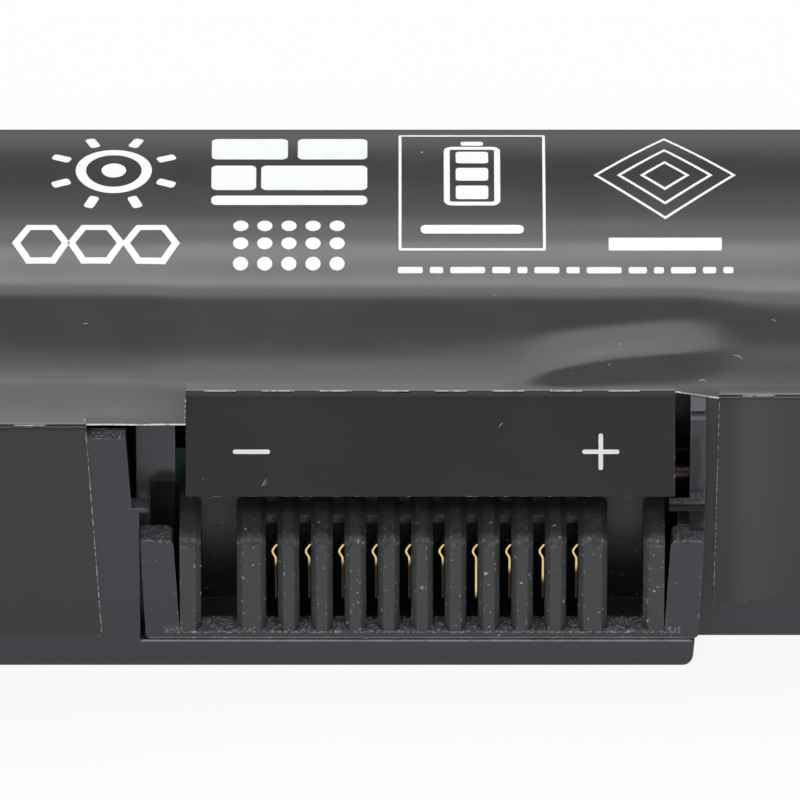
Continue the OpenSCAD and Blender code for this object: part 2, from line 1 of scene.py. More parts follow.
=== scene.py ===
import bpy
import bmesh
import math
import numpy as np
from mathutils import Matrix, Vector


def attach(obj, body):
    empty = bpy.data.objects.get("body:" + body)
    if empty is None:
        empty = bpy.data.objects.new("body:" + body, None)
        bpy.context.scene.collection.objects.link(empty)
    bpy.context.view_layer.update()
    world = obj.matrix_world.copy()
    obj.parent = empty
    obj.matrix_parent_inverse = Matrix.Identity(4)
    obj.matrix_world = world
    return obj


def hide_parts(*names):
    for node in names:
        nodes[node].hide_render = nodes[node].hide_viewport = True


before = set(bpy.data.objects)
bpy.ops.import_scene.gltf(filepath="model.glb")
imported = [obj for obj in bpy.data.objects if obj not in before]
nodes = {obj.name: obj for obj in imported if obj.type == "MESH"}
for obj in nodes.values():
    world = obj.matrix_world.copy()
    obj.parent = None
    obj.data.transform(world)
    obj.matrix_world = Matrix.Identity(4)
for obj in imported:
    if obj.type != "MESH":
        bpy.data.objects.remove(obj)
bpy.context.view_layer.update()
mm = 0.001
packHalf = 14  # bench Y = 0 is the front face, the row's origin is this far behind it


def at(x, y, z):  # bench millimetres to the row's metres
    return Vector((x * mm, (y - packHalf) * mm, z * mm))


def addObject(name, data):
    obj = bpy.data.objects.new(name, data)
    bpy.context.scene.collection.objects.link(obj)
    return obj


def setPiece(piece, slotName, *replaced):
    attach(piece, "root")
    if replaced:
        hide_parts(*replaced)
    return piece


# Camera: a long lens at the photograph's height above the table
camera = {"elevation": 40, "perMm": 16.63, "middleX": 422, "frontRow": 667, "side": 800, "lens": 900}


def addCamera(c):
    data = bpy.data.cameras.new("camera")
    data.lens = c["lens"]
    data.sensor_width = 36
    data.clip_end = 100
    rise = math.radians(c["elevation"])
    across = (c["side"] / 2 - c["middleX"]) / c["perMm"]
    up = (c["frontRow"] - c["side"] / 2) / c["perMm"]
    look = at(across, 0, 0) + Vector((0, math.sin(rise), math.cos(rise))) * up * mm
    away = c["side"] / c["perMm"] * mm * c["lens"] / data.sensor_width
    obj = addObject("camera", data)
    obj.location = look + Vector((0, -math.cos(rise), math.sin(rise))) * away
    obj.rotation_euler = (math.radians(90 - c["elevation"]), 0, 0)
    bpy.context.scene.camera = obj


addCamera(camera)
print("camera placed")


# Node helpers
def put(tree, kind, sockets=None, **settings):
    node = tree.nodes.new("ShaderNode" + kind)
    for key, value in settings.items():
        setattr(node, key, value)
    for key, value in (sockets or {}).items():
        if isinstance(value, bpy.types.NodeSocket):
            tree.links.new(value, node.inputs[key])
        else:
            node.inputs[key].default_value = value
    return node


def calc(tree, operation, a, b=0, c=0):
    sockets = {i: v for i, v in enumerate((a, b, c))}
    return put(tree, "Math", sockets, operation=operation).outputs[0]


def spread(tree, value, low, high, toLow=0, toHigh=1):  # smooth step from low to high
    sockets = {0: value, 1: low, 2: high, 3: toLow, 4: toHigh}
    return put(tree, "MapRange", sockets, interpolation_type="SMOOTHSTEP").outputs[0]


def blendColor(tree, share, first, second):
    return put(tree, "Mix", {0: share, 6: first, 7: second}, data_type="RGBA").outputs[2]


nearBlack = (0.002, 0.002, 0.002)


def opaque(color):
    return (*color, 1)


def paint(tree, base, share, color):  # lays a colour over the base where the share is high
    return blendColor(tree, share, base, opaque(color))


def times(tree, a, b):
    return calc(tree, "MULTIPLY", a, b)


def larger(tree, a, b):
    return calc(tree, "MAXIMUM", a, b)


def noise(tree, scale, detail=3, roughness=0.5):
    sockets = {"Vector": place(tree), "Scale": scale, "Detail": detail, "Roughness": roughness}
    return put(tree, "TexNoise", sockets).outputs[0]


def startGroup(name, inputs, outputs):
    tree = bpy.data.node_groups.new(name, "ShaderNodeTree")
    for key, value in inputs.items():
        socket = tree.interface.new_socket(key, in_out="INPUT", socket_type="NodeSocketFloat")
        socket.default_value = value
    for key, kind in outputs.items():
        tree.interface.new_socket(key, in_out="OUTPUT", socket_type="NodeSocket" + kind)
    return tree, tree.nodes.new("NodeGroupInput").outputs, tree.nodes.new("NodeGroupOutput").inputs


def useGroup(tree, group, **values):
    return put(tree, "Group", values, node_tree=group).outputs


def place(tree):
    return put(tree, "TexCoord").outputs["Object"]


def axesOf(tree):
    return put(tree, "SeparateXYZ", {0: place(tree)}).outputs


def smoothCurve(points):  # natural cubic spline through the points
    xs, ys = np.array(points, float).T
    n, h = len(xs), np.diff(xs)
    rows, right = np.eye(n), np.zeros(n)
    for i in range(1, n - 1):
        rows[i, i - 1:i + 2] = h[i - 1], 2 * (h[i - 1] + h[i]), h[i]
        right[i] = 3 * ((ys[i + 1] - ys[i]) / h[i] - (ys[i] - ys[i - 1]) / h[i - 1])
    c = np.linalg.solve(rows, right)

    def value(x):
        x = min(max(x, xs[0]), xs[-1])
        i = int(min(max(np.searchsorted(xs, x) - 1, 0), n - 2))
        d = x - xs[i]
        b = (ys[i + 1] - ys[i]) / h[i] - h[i] * (2 * c[i] + c[i + 1]) / 3
        return ys[i] + b * d + c[i] * d * d + (c[i + 1] - c[i]) / (3 * h[i]) * d ** 3
    return value


def easeStep(value, low, high):
    share = min(1, max(0, (value - low) / (high - low)))
    return share * share * (3 - 2 * share)


def linkMesh(name, mesh):
    data = bpy.data.meshes.new(name)
    mesh.to_mesh(data)
    mesh.free()
    return addObject(name, data)


def turnOut(mesh):
    bmesh.ops.recalc_face_normals(mesh, faces=mesh.faces)


def bridge(mesh, a, b):  # faces between two closed rings of points
    for i in range(len(a)):
        j = (i + 1) % len(a)
        mesh.faces.new((a[i], a[j], b[j], b[i]))


def splitRims(obj):
    split = obj.modifiers.new("crisp rims", "EDGE_SPLIT")
    split.split_angle = math.radians(50)


# Specks of dust: small bent grains of unlike size and brightness, scales are per metre
dustShape = {"bendScale": 5200, "bend": 0.0003, "unlike": 3, "core": 0.5, "dimmest": 0.3}


def makeDust(d):
    tree, given, out = startGroup("dustSpecks", {"Scale": 2600, "Size": 0.2, "Share": 0.35},
                                  {"Mask": "Float"})
    bend = put(tree, "TexNoise", {"Vector": place(tree), "Scale": d["bendScale"], "Detail": 2})
    shifted = put(tree, "VectorMath", {0: bend.outputs["Color"], 1: (0.5, 0.5, 0.5)},
                  operation="SUBTRACT")
    moved = put(tree, "VectorMath",
                {0: shifted.outputs[0], 1: (d["bend"], d["bend"], d["bend"]), 2: place(tree)},
                operation="MULTIPLY_ADD")
    cells = put(tree, "TexVoronoi", {"Vector": moved.outputs[0], "Scale": given["Scale"]})
    hue = put(tree, "SeparateColor", {0: cells.outputs["Color"]})
    radius = times(tree, calc(tree, "POWER", hue.outputs[0], d["unlike"]), given["Size"])
    here = calc(tree, "LESS_THAN", hue.outputs[1], given["Share"])
    core = times(tree, radius, d["core"])
    edge = spread(tree, cells.outputs["Distance"], core, radius, 1, 0)
    bright = calc(tree, "MULTIPLY_ADD", hue.outputs[2], 1 - d["dimmest"], d["dimmest"])
    tree.links.new(times(tree, times(tree, edge, here), bright), out["Mask"])
    return tree


# Fine grain of moulded plastic or drawn film, with a slower cloud for blotches
def makeGrain():
    tree, given, out = startGroup("fineGrain", {"Scale": 9000, "Blotch": 400},
                                  {"Height": "Float", "Cloud": "Float"})
    tree.links.new(noise(tree, given["Scale"], 3, 0.65), out["Height"])
    tree.links.new(noise(tree, given["Blotch"], 4, 0.6), out["Cloud"])
    return tree


# Soft edges: the rounded normal, and a patchy mask where it leaves the flat one, for edge wear that is partly
# painted highlight and for dust along the rims
wearShape = {"bent": (0.995, 0.88), "breaks": (0.36, 0.6), "least": 0.25}


def makeEdgeWear(w):
    tree, given, out = startGroup("edgeWear", {"Radius": 0.0001, "Breaks": 1500},
                                  {"Mask": "Float", "Normal": "Vector"})
    flat = put(tree, "NewGeometry").outputs["Normal"]
    soft = put(tree, "Bevel", {"Radius": given["Radius"]}, samples=8).outputs[0]
    same = put(tree, "VectorMath", {0: flat, 1: soft}, operation="DOT_PRODUCT").outputs["Value"]
    bent = spread(tree, same, *w["bent"])
    patchy = spread(tree, noise(tree, given["Breaks"]), *w["breaks"], w["least"], 1)
    tree.links.new(times(tree, bent, patchy), out["Mask"])
    tree.links.new(soft, out["Normal"])
    return tree


# Dust haze on faces that look up
hazeShape = {"rise": (0.35, 0.9), "clouds": (0.3, 0.65), "least": 0.35}


def makeHaze(h):
    tree, given, out = startGroup("dustHaze", {"Scale": 1500}, {"Mask": "Float"})
    normal = put(tree, "NewGeometry").outputs["Normal"]
    rise = put(tree, "SeparateXYZ", {0: normal}).outputs[2]
    up = spread(tree, rise, *h["rise"])
    cloudy = spread(tree, noise(tree, given["Scale"], 5, 0.7), *h["clouds"], h["least"], 1)
    tree.links.new(times(tree, up, cloudy), out["Mask"])
    return tree


cloudRange = (0.3, 0.7)  # the part of a cloud's values that shows in the roughness
dust = makeDust(dustShape)
grain = makeGrain()
wear = makeEdgeWear(wearShape)
haze = makeHaze(hazeShape)


def specksOf(tree, scale, size, share):
    return useGroup(tree, dust, Scale=scale, Size=size, Share=share)["Mask"]


def mottle(tree, p, scale, blotch):  # grain, and a colour and roughness that follow its cloud
    fine = useGroup(tree, grain, Scale=scale, Blotch=blotch)
    base = blendColor(tree, fine["Cloud"], opaque(p["dark"]), opaque(p["light"]))
    return fine["Height"], base, spread(tree, fine["Cloud"], *cloudRange, *p["rough"])


def startMaterial(name, **plain):
    material = bpy.data.materials.new(name)
    material.use_nodes = True
    tree = material.node_tree
    shader = tree.nodes["Principled BSDF"]
    for key, value in plain.items():
        shader.inputs[key.replace("_", " ")].default_value = value
    return material, tree, shader


bumpDepth = 0.00003


def finishSurface(tree, shader, base, rough, height, strength, normal=None):
    tree.links.new(base, shader.inputs["Base Color"])
    tree.links.new(rough, shader.inputs["Roughness"])
    bump = put(tree, "Bump", {"Strength": strength, "Distance": bumpDepth, "Height": height})
    if normal is not None:
        tree.links.new(normal, bump.inputs["Normal"])
    tree.links.new(bump.outputs[0], shader.inputs["Normal"])


def dress(material, *names):
    for name in names:
        slots = nodes[name].data.materials
        slots.clear()
        slots.append(material)


# Mask of places given as boxes in bench millimetres, each with its strength
def insideBoxes(tree, boxes):
    axes = axesOf(tree)
    total = None
    for x0, x1, y0, y1, z0, z1, level in boxes:
        low, high = at(x0, y0, z0), at(x1, y1, z1)
        inside = None
        for i in range(3):
            one = calc(tree, "COMPARE", axes[i], (low[i] + high[i]) / 2, (high[i] - low[i]) / 2)
            inside = one if inside is None else times(tree, inside, one)
        inside = times(tree, inside, level)
        total = inside if total is None else larger(tree, total, inside)
    return total


# Painted shade: soft dark spots in recesses, middle x and z, half width, half height and strength, seen from
# the front
spotCore = 0.3  # share of a spot that is fully dark


def paintedShadeSpots(tree, spots):
    axes = axesOf(tree)
    total = None
    for x, z, wide, high, level in spots:
        across = calc(tree, "MULTIPLY_ADD", axes[0], 1 / (wide * mm), -x / wide)
        up = calc(tree, "MULTIPLY_ADD", axes[2], 1 / (high * mm), -z / high)
        away = calc(tree, "MULTIPLY_ADD", across, across, times(tree, up, up))
        spot = spread(tree, away, spotCore, 1, level, 0)
        total = spot if total is None else larger(tree, total, spot)
    return total


# Moulded plastic: colour, grain, dust, soft edges that are partly worn and partly painted highlight, the pale
# torn tops of trimmed walls, and painted shade and painted highlights in given places
plastic = {
    "breaks": 1800, "highlightPatches": (1100, 0.3, 0.6, 0.6), "tornLeast": 0.05, "tornRough": 0.75,
    # dust that gathers along the rims: width, gaps, then scale, size and share of its crumbs
    "rim": (0.4, 900), "crumbs": (3300, 0.75, 0.9),
    # the last of these: how much the specks fade inside the painted depth shade
    "speckCover": 0.85, "speckRough": 0.9, "speckRise": 2, "speckShadeInside": 0.75,
}


def makePlastic(name, p):
    material, tree, shader = startMaterial(name, Specular_IOR_Level=p["gloss"])
    height, base, rough = mottle(tree, p, p["grainScale"], p["blotch"])
    film = useGroup(tree, haze, Scale=p["hazeScale"])["Mask"]
    base = paint(tree, base, times(tree, film, p["haze"]), p["dustColor"])
    # lighter edges: partly wear, partly painted highlight
    worn = useGroup(tree, wear, Radius=p["edge"] * mm, Breaks=plastic["breaks"])
    base = paint(tree, base, times(tree, worn["Mask"], p["wear"]), p["worn"])
    # painted shade: soft dark spots in recesses
    if p["paintedShade"]:
        spots = paintedShadeSpots(tree, p["paintedShade"])
        base = paint(tree, base, spots, nearBlack)
        rough = larger(tree, rough, spots)
    # painted shade: darker deeper in and lower down
    if p["paintedDepthShade"]:
        near, far, top, bottom, level = p["paintedDepthShade"]
        axes = axesOf(tree)
        inward = spread(tree, axes[1], (near - packHalf) * mm, (far - packHalf) * mm)
        down = spread(tree, axes[2], bottom * mm, top * mm, level, 0)
        paintedDepthShade = times(tree, inward, down)
        base = paint(tree, base, paintedDepthShade, nearBlack)
    # painted shade in given boxes
    if p["paintedShadeBoxes"]:
        paintedShadeBoxes = insideBoxes(tree, p["paintedShadeBoxes"])
        base = paint(tree, base, paintedShadeBoxes, nearBlack)
        rough = larger(tree, rough, paintedShadeBoxes)
    # painted highlight: paler patches along given edges
    if p["paintedHighlight"]:
        scale, low, high, least = plastic["highlightPatches"]
        patchy = spread(tree, noise(tree, scale), low, high, least, 1)
        paintedHighlight = times(tree, insideBoxes(tree, p["paintedHighlight"]), patchy)
        base = paint(tree, base, paintedHighlight, p["highlightColor"])
    if p["torn"]:
        grains = noise(tree, p["tornScale"], 4, 0.8)
        ragged = spread(tree, grains, *p["ragged"], plastic["tornLeast"], 1)
        cut = insideBoxes(tree, p["torn"])
        torn = times(tree, cut, ragged)
        base = paint(tree, base, torn, p["tornColor"])
        matt = spread(tree, cut, 0, 0.4, 0, plastic["tornRough"])
        rough = larger(tree, rough, matt)
    specks = larger(tree, specksOf(tree, *p["dust"]), specksOf(tree, *p["lint"]))
    if p["rimDust"]:
        width, gaps = plastic["rim"]
        rim = useGroup(tree, wear, Radius=width * mm, Breaks=gaps)["Mask"]
        crumbs = times(tree, rim, specksOf(tree, *plastic["crumbs"]))
        specks = larger(tree, specks, crumbs)
    # the specks fade deeper in, as part of the painted shade
    if p["paintedDepthShade"]:
        kept = calc(tree, "MULTIPLY_ADD", inward, -plastic["speckShadeInside"], 1)
        specks = times(tree, specks, kept)
    base = paint(tree, base, times(tree, specks, plastic["speckCover"]), p["speck"])
    rough = larger(tree, rough, times(tree, specks, plastic["speckRough"]))
    height = calc(tree, "MULTIPLY_ADD", specks, plastic["speckRise"], height)
    finishSurface(tree, shader, base, rough, height, p["bump"], worn["Normal"])
    return material


trayFinish = {
    "gloss": 0.5, "grainScale": 9000, "blotch": 350, "dark": (0.0225, 0.0248, 0.031),
    # the worn edge colour is partly wear, partly painted highlight on the edges
    "light": (0.0315, 0.0345, 0.0415), "edge": 0.09, "wear": 0.65, "worn": (0.17, 0.175, 0.185),
    "rough": (0.36, 0.47), "dust": (1900, 0.17, 0.1), "lint": (600, 0.07, 0.12), "bump": 0.22,
    "haze": 0.03, "hazeScale": 2500, "dustColor": (0.45, 0.46, 0.48), "speck": (0.62, 0.63, 0.66),
    # trimmed tops of the walls and the ledges beside the connector
    "torn": [(-20.6, -17.2, -0.2, 1.3, 17.93, 18.2, 0.8), (-17.6, -16, -0.2, 1.4, 12.4, 12.9, 0.22),
             (14.5, 17.2, 0.4, 1.4, 12.45, 12.9, 0.4)],
    # painted shade on the front of the right ledge
    "paintedShadeBoxes": [(14.5, 16.95, -0.2, 0.4, 12, 12.6, 0.9)],  # front of the right ledge
    "tornColor": (0.42, 0.43, 0.45), "tornScale": 7000,
    # painted highlight along the front edge of the lip's top
    "paintedHighlight": [(-16.9, 16.2, -0.03, 0.06, 2.03, 2.2, 1), (-16.9, 16.2, 0.06, 0.13, 2, 2.2, 0.5)],
    "highlightColor": (0.36, 0.37, 0.39), "ragged": (0.46, 0.62),
    # painted shade: dark spots in the pockets beside the connector and on the wall right of it
    "paintedShade": [(-15.3, 12.8, 1.6, 1.8, 0.93), (-15.3, 9.3, 1.7, 3.8, 0.93), (16.3, 15.3, 0.45, 2.9, 0.6),
              (16.1, 11.2, 1.2, 1.2, 0.93), (17.3, 11.5, 0.6, 7.5, 0.2)],
    "paintedDepthShade": (), "rimDust": False,
}
frameFinish = dict(
    trayFinish, tornColor=(0.31, 0.315, 0.33), tornScale=5200, ragged=(0.49, 0.58),
    # the bar's top, then the tops of the two arms
    torn=[(-15.5, 15.5, 0.1, 1.6, 2.58, 3.1, 0.85), (-17, -13.8, 0, 1.6, 9.7, 10, 0.5),
          (13.8, 17, 0, 1.6, 9.7, 10, 0.5)],
    # painted highlight along the frame's lower edge, and painted shade deeper on the bar's top
    paintedHighlight=[(-16.9, 16.4, 0, 0.2, 2.1, 2.3, 0.35)], paintedDepthShade=(1.05, 1.5, 3.2, 2.9, 0.85),
    dust=(3400, 0.3, 0.4), lint=(1500, 0.15, 0.3), haze=0.06, rimDust=True,
    paintedShadeBoxes=(), paintedShade=())
connectorFinish = dict(
    trayFinish, dark=(0.027, 0.029, 0.0335), light=(0.038, 0.0405, 0.0455),
    rough=(0.32, 0.44), dust=(3400, 0.46, 0.6), lint=(1500, 0.26, 0.4),
    torn=[(-14.6, 14.6, 0, 0.8, 9.3, 10, 0.5)], tornColor=(0.17, 0.175, 0.185),
    tornScale=3200, haze=0.12, hazeScale=2200, wear=0.25, rimDust=True,
    # painted shade deeper in the slots
    paintedDepthShade=(1.5, 2.6, 9.7, 6.8, 0.7), paintedShadeBoxes=(), paintedHighlight=(), paintedShade=())

dress(makePlastic("trayPlastic", trayFinish), "bottom_tray")
dress(makePlastic("framePlastic", frameFinish), "connector_frame")
dress(makePlastic("connectorPlastic", connectorFinish), "connector_body")
print("housing finished")


# Painted highlight: a pale strip packed in the seam between the frame and the lip
seamHighlight = {"from": -16.4, "to": 16.2, "step": 0.1, "low": 2.102, "high": 2.148, "front": 0.16, "back": 1.3,
            "wander": 0.05}


def makeSeamHighlight(d):
    mesh = bmesh.new()
    rings = []
    count = round((d["to"] - d["from"]) / d["step"])
    for i in range(count + 1):
        x = d["from"] + (d["to"] - d["from"]) * i / count
        front = d["front"] + d["wander"] * (0.5 + 0.3 * math.sin(5.3 * x) + 0.2 * math.sin(17.1 * x + 1))
        rings.append([mesh.verts.new(at(x, y, z)) for y, z in
                      ((front, d["low"]), (d["back"], d["low"]), (d["back"], d["high"]), (front, d["high"]))])
    for a, b in zip(rings, rings[1:]):
        bridge(mesh, a, b)
    mesh.faces.new(rings[0])
    mesh.faces.new(list(reversed(rings[-1])))
    turnOut(mesh)
    obj = linkMesh("seam_highlight", mesh)
    obj.data.materials.append(makePlastic("seamHighlight", dict(trayFinish, light=(0.12, 0.125, 0.135), paintedShade=())))
    return setPiece(obj, "tray_plastic")


makeSeamHighlight(seamHighlight)

# Contacts: gold on the spring's hook; deeper in the slot bare metal, painted dark as shade
contacts = {
    # the dark bronze is painted shade deep in the slot, over the bare metal below the plating
    "gold": (0.95, 0.66, 0.27), "shadedBronze": (0.055, 0.033, 0.022), "rough": (0.2, 0.5),
    # height where the gold begins, and the lower start on contacts 7 to 10
    "fade": 0.8, "brightFrom": 7.1, "bare": {7: 4.6, 8: 6.5, 9: 5.8, 10: 6.6}, "count": 10,
    "cloud": 3000, "dull": 0.8, "grain": 12000, "bump": 0.1,
}


def makeContact(number, c):
    material, tree, shader = startMaterial(f"contactGold{number}", Metallic=1)
    low = c["bare"].get(number, c["brightFrom"])
    bright = spread(tree, axesOf(tree)[2], low * mm, (low + c["fade"]) * mm)
    dull = [value * c["dull"] for value in c["gold"]]
    gold = blendColor(tree, noise(tree, c["cloud"]), opaque(dull), opaque(c["gold"]))
    # painted shade: dark lower down, where the slot is in shade
    base = blendColor(tree, bright, opaque(c["shadedBronze"]), gold)
    rough = spread(tree, bright, 0, 1, c["rough"][1], c["rough"][0])
    finishSurface(tree, shader, base, rough, noise(tree, c["grain"]), c["bump"])
    return material


# Springs: smooth strips with a rounded hook, x measured from the middle of their slot
spring = {
    "path": [(4.7, 0.24), (5.3, 0.24), (6.5, 0.24), (7.4, 0.24), (7.75, 0.24), (7.92, 0.215), (8.07, 0.15),
             (8.22, 0.075), (8.38, 0.045), (8.54, 0.08), (8.7, 0.17), (8.92, 0.31)],
    "thick": 0.12, "front": 0.9, "back": 2.1, "tailBack": 7, "steps": 44, "pitch": 2, "probe": 0.02,
}


def makeSpring(number, s):
    bend = smoothCurve(s["path"])
    middle = (number - 1 - (contacts["count"] - 1) / 2) * s["pitch"]
    low, tailTop, top = s["path"][0][0], s["path"][1][0], s["path"][-1][0]
    mesh = bmesh.new()
    rings, sides = [], []
    for z in [low] + [tailTop + (top - tailTop) * i / s["steps"] for i in range(s["steps"] + 1)]:
        slope = (bend(z + s["probe"]) - bend(z - s["probe"])) / (2 * s["probe"])
        half = s["thick"] / 2 / math.hypot(1, slope)
        pair = [(middle + bend(z) + way, z - way * slope) for way in (-half, half)]
        sides.append(pair)
        rings.append([mesh.verts.new(at(x, y, h)) for x, h in pair for y in (s["front"], s["back"])])
    for k, (a, b) in enumerate(zip(rings, rings[1:])):
        for i, j in ((0, 2), (2, 3), (3, 1), (1, 0)):
            if k or (i, j) != (3, 1):
                mesh.faces.new((a[i], a[j], b[j], b[i])).smooth = True
    tail = [mesh.verts.new(at(x, s["tailBack"], h)) for pair in sides[:2] for x, h in pair]
    a, b = rings[0], rings[1]
    end = [tail[0], tail[1], tail[3], tail[2]]
    bridge(mesh, [a[1], a[3], b[3], b[1]], end)
    mesh.faces.new(end)
    mesh.faces.new((a[0], a[1], a[3], a[2]))
    mesh.faces.new([rings[-1][i] for i in (0, 2, 3, 1)])
    turnOut(mesh)
    obj = linkMesh(f"spring_{number}", mesh)
    obj.data.materials.append(makeContact(number, contacts))
    splitRims(obj)
    return setPiece(obj, "contact_metal", f"contact_{number}")


for number in range(1, contacts["count"] + 1):
    makeSpring(number, spring)


# Pieces under the film: each has its grain, blotches and a little dust, and some get painted shade towards
# the right
innerDustAndShade = {"specks": (1600, 0.16, 0.2), "cover": 0.6, "color": (0.6, 0.6, 0.62), "blotch": 300,
             "shadeLevel": 0.9}


def makeInner(name, p):
    material, tree, shader = startMaterial(name, Specular_IOR_Level=0.5, Metallic=p.get("metal", 0))
    height, base, rough = mottle(tree, p, p["grain"], innerDustAndShade["blotch"])
    specks = times(tree, specksOf(tree, *innerDustAndShade["specks"]), innerDustAndShade["cover"])
    base = paint(tree, base, specks, innerDustAndShade["color"])
    # painted shade: from this x the piece is painted darker, as it lies deeper in shade
    if "shadeRight" in p:  # x from which the piece lies deeper in the dark
        low, high = p["shadeRight"]
        shadeLevel = spread(tree, axesOf(tree)[0], low * mm, high * mm, 0, innerDustAndShade["shadeLevel"])
        base = paint(tree, base, shadeLevel, nearBlack)
    finishSurface(tree, shader, base, rough, height, p["bump"])
    return material


inner = {
    # the board and the red lead get painted shade towards the right
    "boardGreen": {"dark": (0.006, 0.035, 0.021), "light": (0.010, 0.055, 0.033), "grain": 5000,
        "rough": (0.3, 0.45), "bump": 0.15, "shadeRight": (6, 14), "on": ["circuit_board"]},
    "chipBlack": {"dark": (0.02, 0.02, 0.021), "light": (0.035, 0.035, 0.036), "grain": 9000,
        "rough": (0.5, 0.65), "bump": 0.3,
        "on": ["gauge_chip", "protection_chip", "charge_mosfet", "discharge_mosfet", "sense_resistor"]},
    "ceramicTan": {"dark": (0.36, 0.26, 0.16), "light": (0.47, 0.36, 0.24), "grain": 7000,
        "rough": (0.35, 0.5), "bump": 0.1, "on": ["capacitors", "fuse", "thermistor"]},
    "nickelStrip": {"dark": (0.48, 0.46, 0.42), "light": (0.62, 0.60, 0.56), "grain": 6000, "metal": 1,
        "rough": (0.28, 0.42), "bump": 0.15,
        "on": ["positive_tab", "negative_tab"] + [f"nickel_link_{i}" for i in (1, 2, 3)]},
    "sleeveBlue": {"dark": (0.045, 0.12, 0.32), "light": (0.06, 0.16, 0.40), "grain": 3000,
        "rough": (0.25, 0.35), "bump": 0.1, "on": [f"cell_{i}" for i in range(1, 5)]},
    "ringPaper": {"dark": (0.60, 0.58, 0.50), "light": (0.74, 0.72, 0.64), "grain": 4000,
        "rough": (0.75, 0.9), "bump": 0.35, "on": [f"insulator_ring_{i}" for i in range(1, 5)]},
    "sheetPaper": {"dark": (0.05, 0.046, 0.04), "light": (0.08, 0.075, 0.066), "grain": 4000,
        "rough": (0.7, 0.85), "bump": 0.3, "on": ["insulation_sheet"]},
    "padFoam": {"dark": (0.10, 0.10, 0.10), "light": (0.17, 0.17, 0.17), "grain": 2500,
        "rough": (0.85, 0.95), "bump": 0.8, "on": [f"cell_pad_{i}" for i in range(1, 5)]},
    "leadRed": {"dark": (0.13, 0.012, 0.011), "light": (0.20, 0.018, 0.016), "grain": 3000,
        "rough": (0.3, 0.4), "bump": 0.08, "shadeRight": (9, 15), "on": ["positive_lead"]},
    "leadBlack": {"dark": (0.02, 0.02, 0.02), "light": (0.035, 0.035, 0.035), "grain": 3000,
        "rough": (0.3, 0.4), "bump": 0.08, "on": ["negative_lead"]},
    "leadYellow": {"dark": (0.58, 0.44, 0.06), "light": (0.72, 0.58, 0.10), "grain": 3000,
        "rough": (0.3, 0.4), "bump": 0.08, "on": [f"sense_lead_{i}" for i in (1, 2, 3)]},
}

for name, recipe in inner.items():
    dress(makeInner(name, recipe), *recipe["on"])
print("contacts and inner pieces finished")

# The film: one folded sheet with a flap, slits, a notch and two tabs
film = {
    "thickness": 0.12, "mid": 18.925, "crest": 19.91, "bend": 0.375, "endX": 134.4, "back": 28.075,
    "low": 2.6, "foldRow": 3.75, "rowStep": 0.25, "fineStep": 0.5, "wideStep": 1.6, "fineFrom": -27,
    "fineTo": 25, "columnGap": 0.3, "burr": 0.045, "burrFaint": 0.03, "arcSteps": 6, "flapSteps": 14,
    "tabSteps": 16, "backSteps": 14, "hem": 0.994, "joinWithin": 0.002,
    # rows ahead of the first common row: spacing, where they end, least gap to a fold's row
    "ahead": (0.4, 0.6, 0.15),
    "tiltFrom": 3.4, "tiltTo": 27.7, "tiltStep": 0.05,
    # tilt towards the front, in degrees, on the way from the flap's fold to the back rim
    "tilts": [(3.4, 8.5), (3.9, 6), (4.8, 2.4), (5.8, 0.2), (6.8, -1.2), (7.8, -2.2), (8.8, -3), (9.8, -3.5),
              (10.8, -3.3), (11.8, -1.7), (12.5, 2.8), (13.1, 8.4), (13.65, 14), (14.1, 15.9), (14.65, 15.4),
              (15.65, 10.4), (16.65, 5.5), (17.65, 2), (18.4, 0.2), (19.3, -0.5), (20.3, -1.2),
              (21.3, -2), (22.3, -3.6), (23.3, -5.4), (24.3, -7.8), (25.3, -10.2), (26.3, -12), (27.7, -13)],
    # how much higher the film lies behind the two tabs than behind the flap
    "leftLift": [(0.3, 0), (1, 0.105), (2, 0.225), (3, 0.3), (3.75, 0.32), (5, 0.27), (6.5, 0.24),
                 (9, 0.185), (11.5, 0.12), (13.3, 0.1), (16.5, 0)],
    "rightLift": [(3.05, 0), (3.4, -0.02), (3.9, -0.085), (4.8, -0.165), (5.8, -0.205), (6.8, -0.205),
                  (8, -0.19), (9.5, -0.205), (11, -0.2), (12.5, -0.09), (13.4, -0.02), (14, 0)],
    "leftOf": (-13.6, -18), "rightOf": (15, 20), "endFade": (100, 130),
    "leftTab": {"from": -134.4, "to": -20, "y": -0.075, "slant": 0.8},
    "notch": {"from": -20, "to": -14.1, "y": 0.15, "wander": 0.02},
    "flap": {"from": -14.1, "to": 15.1, "y": 3.2, "turn": 60, "length": 6.35},
    "gap": {"from": 15.1, "to": 17.7, "y": 3.2, "yEnd": 2.6},
    "rightTab": {"from": 17.7, "to": 134.4, "y": 2.675, "low": 3.5, "riseTo": 22.2, "slant": -0.2},
    "slit": 1.9, "slitPitch": 3.44, "slitFrom": -13, "slitCount": 8, "tabSlits": [-24.3, 19.1],
    # steps of the fold that a slit takes out
    "slitTurns": {"flap": (2, 3), "leftTab": (2,), "rightTab": (2,)},
    "waveRise": (3.4, 1.5), "waveFall": (27, 2),  # y where the waves begin and end, and over what length
    # long shallow waves: middle x, middle y, half length, half width, turn in degrees, height
    "waves": [(12.4, 9.5, 7.5, 1.6, 10, 0.12), (-44, 9, 14, 2, -9, 0.05), (-70, 14, 20, 2.6, 6, 0.05),
              (58, 12, 18, 2.4, -8, 0.05), (88, 8, 15, 2, 10, 0.05), (-104, 20, 16, 2.4, 9, 0.05),
              (112, 21, 14, 2.2, -7, 0.05)],
    # one sharper crease behind the flap's right half
    "crease": {"from": 4.5, "full": 9.5, "fade": 14.5, "to": 19.5, "start": 3.42, "reach": 7.3, "drop": 4.6,
               "run": 3.8, "depth": 0.43, "back": 2.2, "soft": 0.3},
}


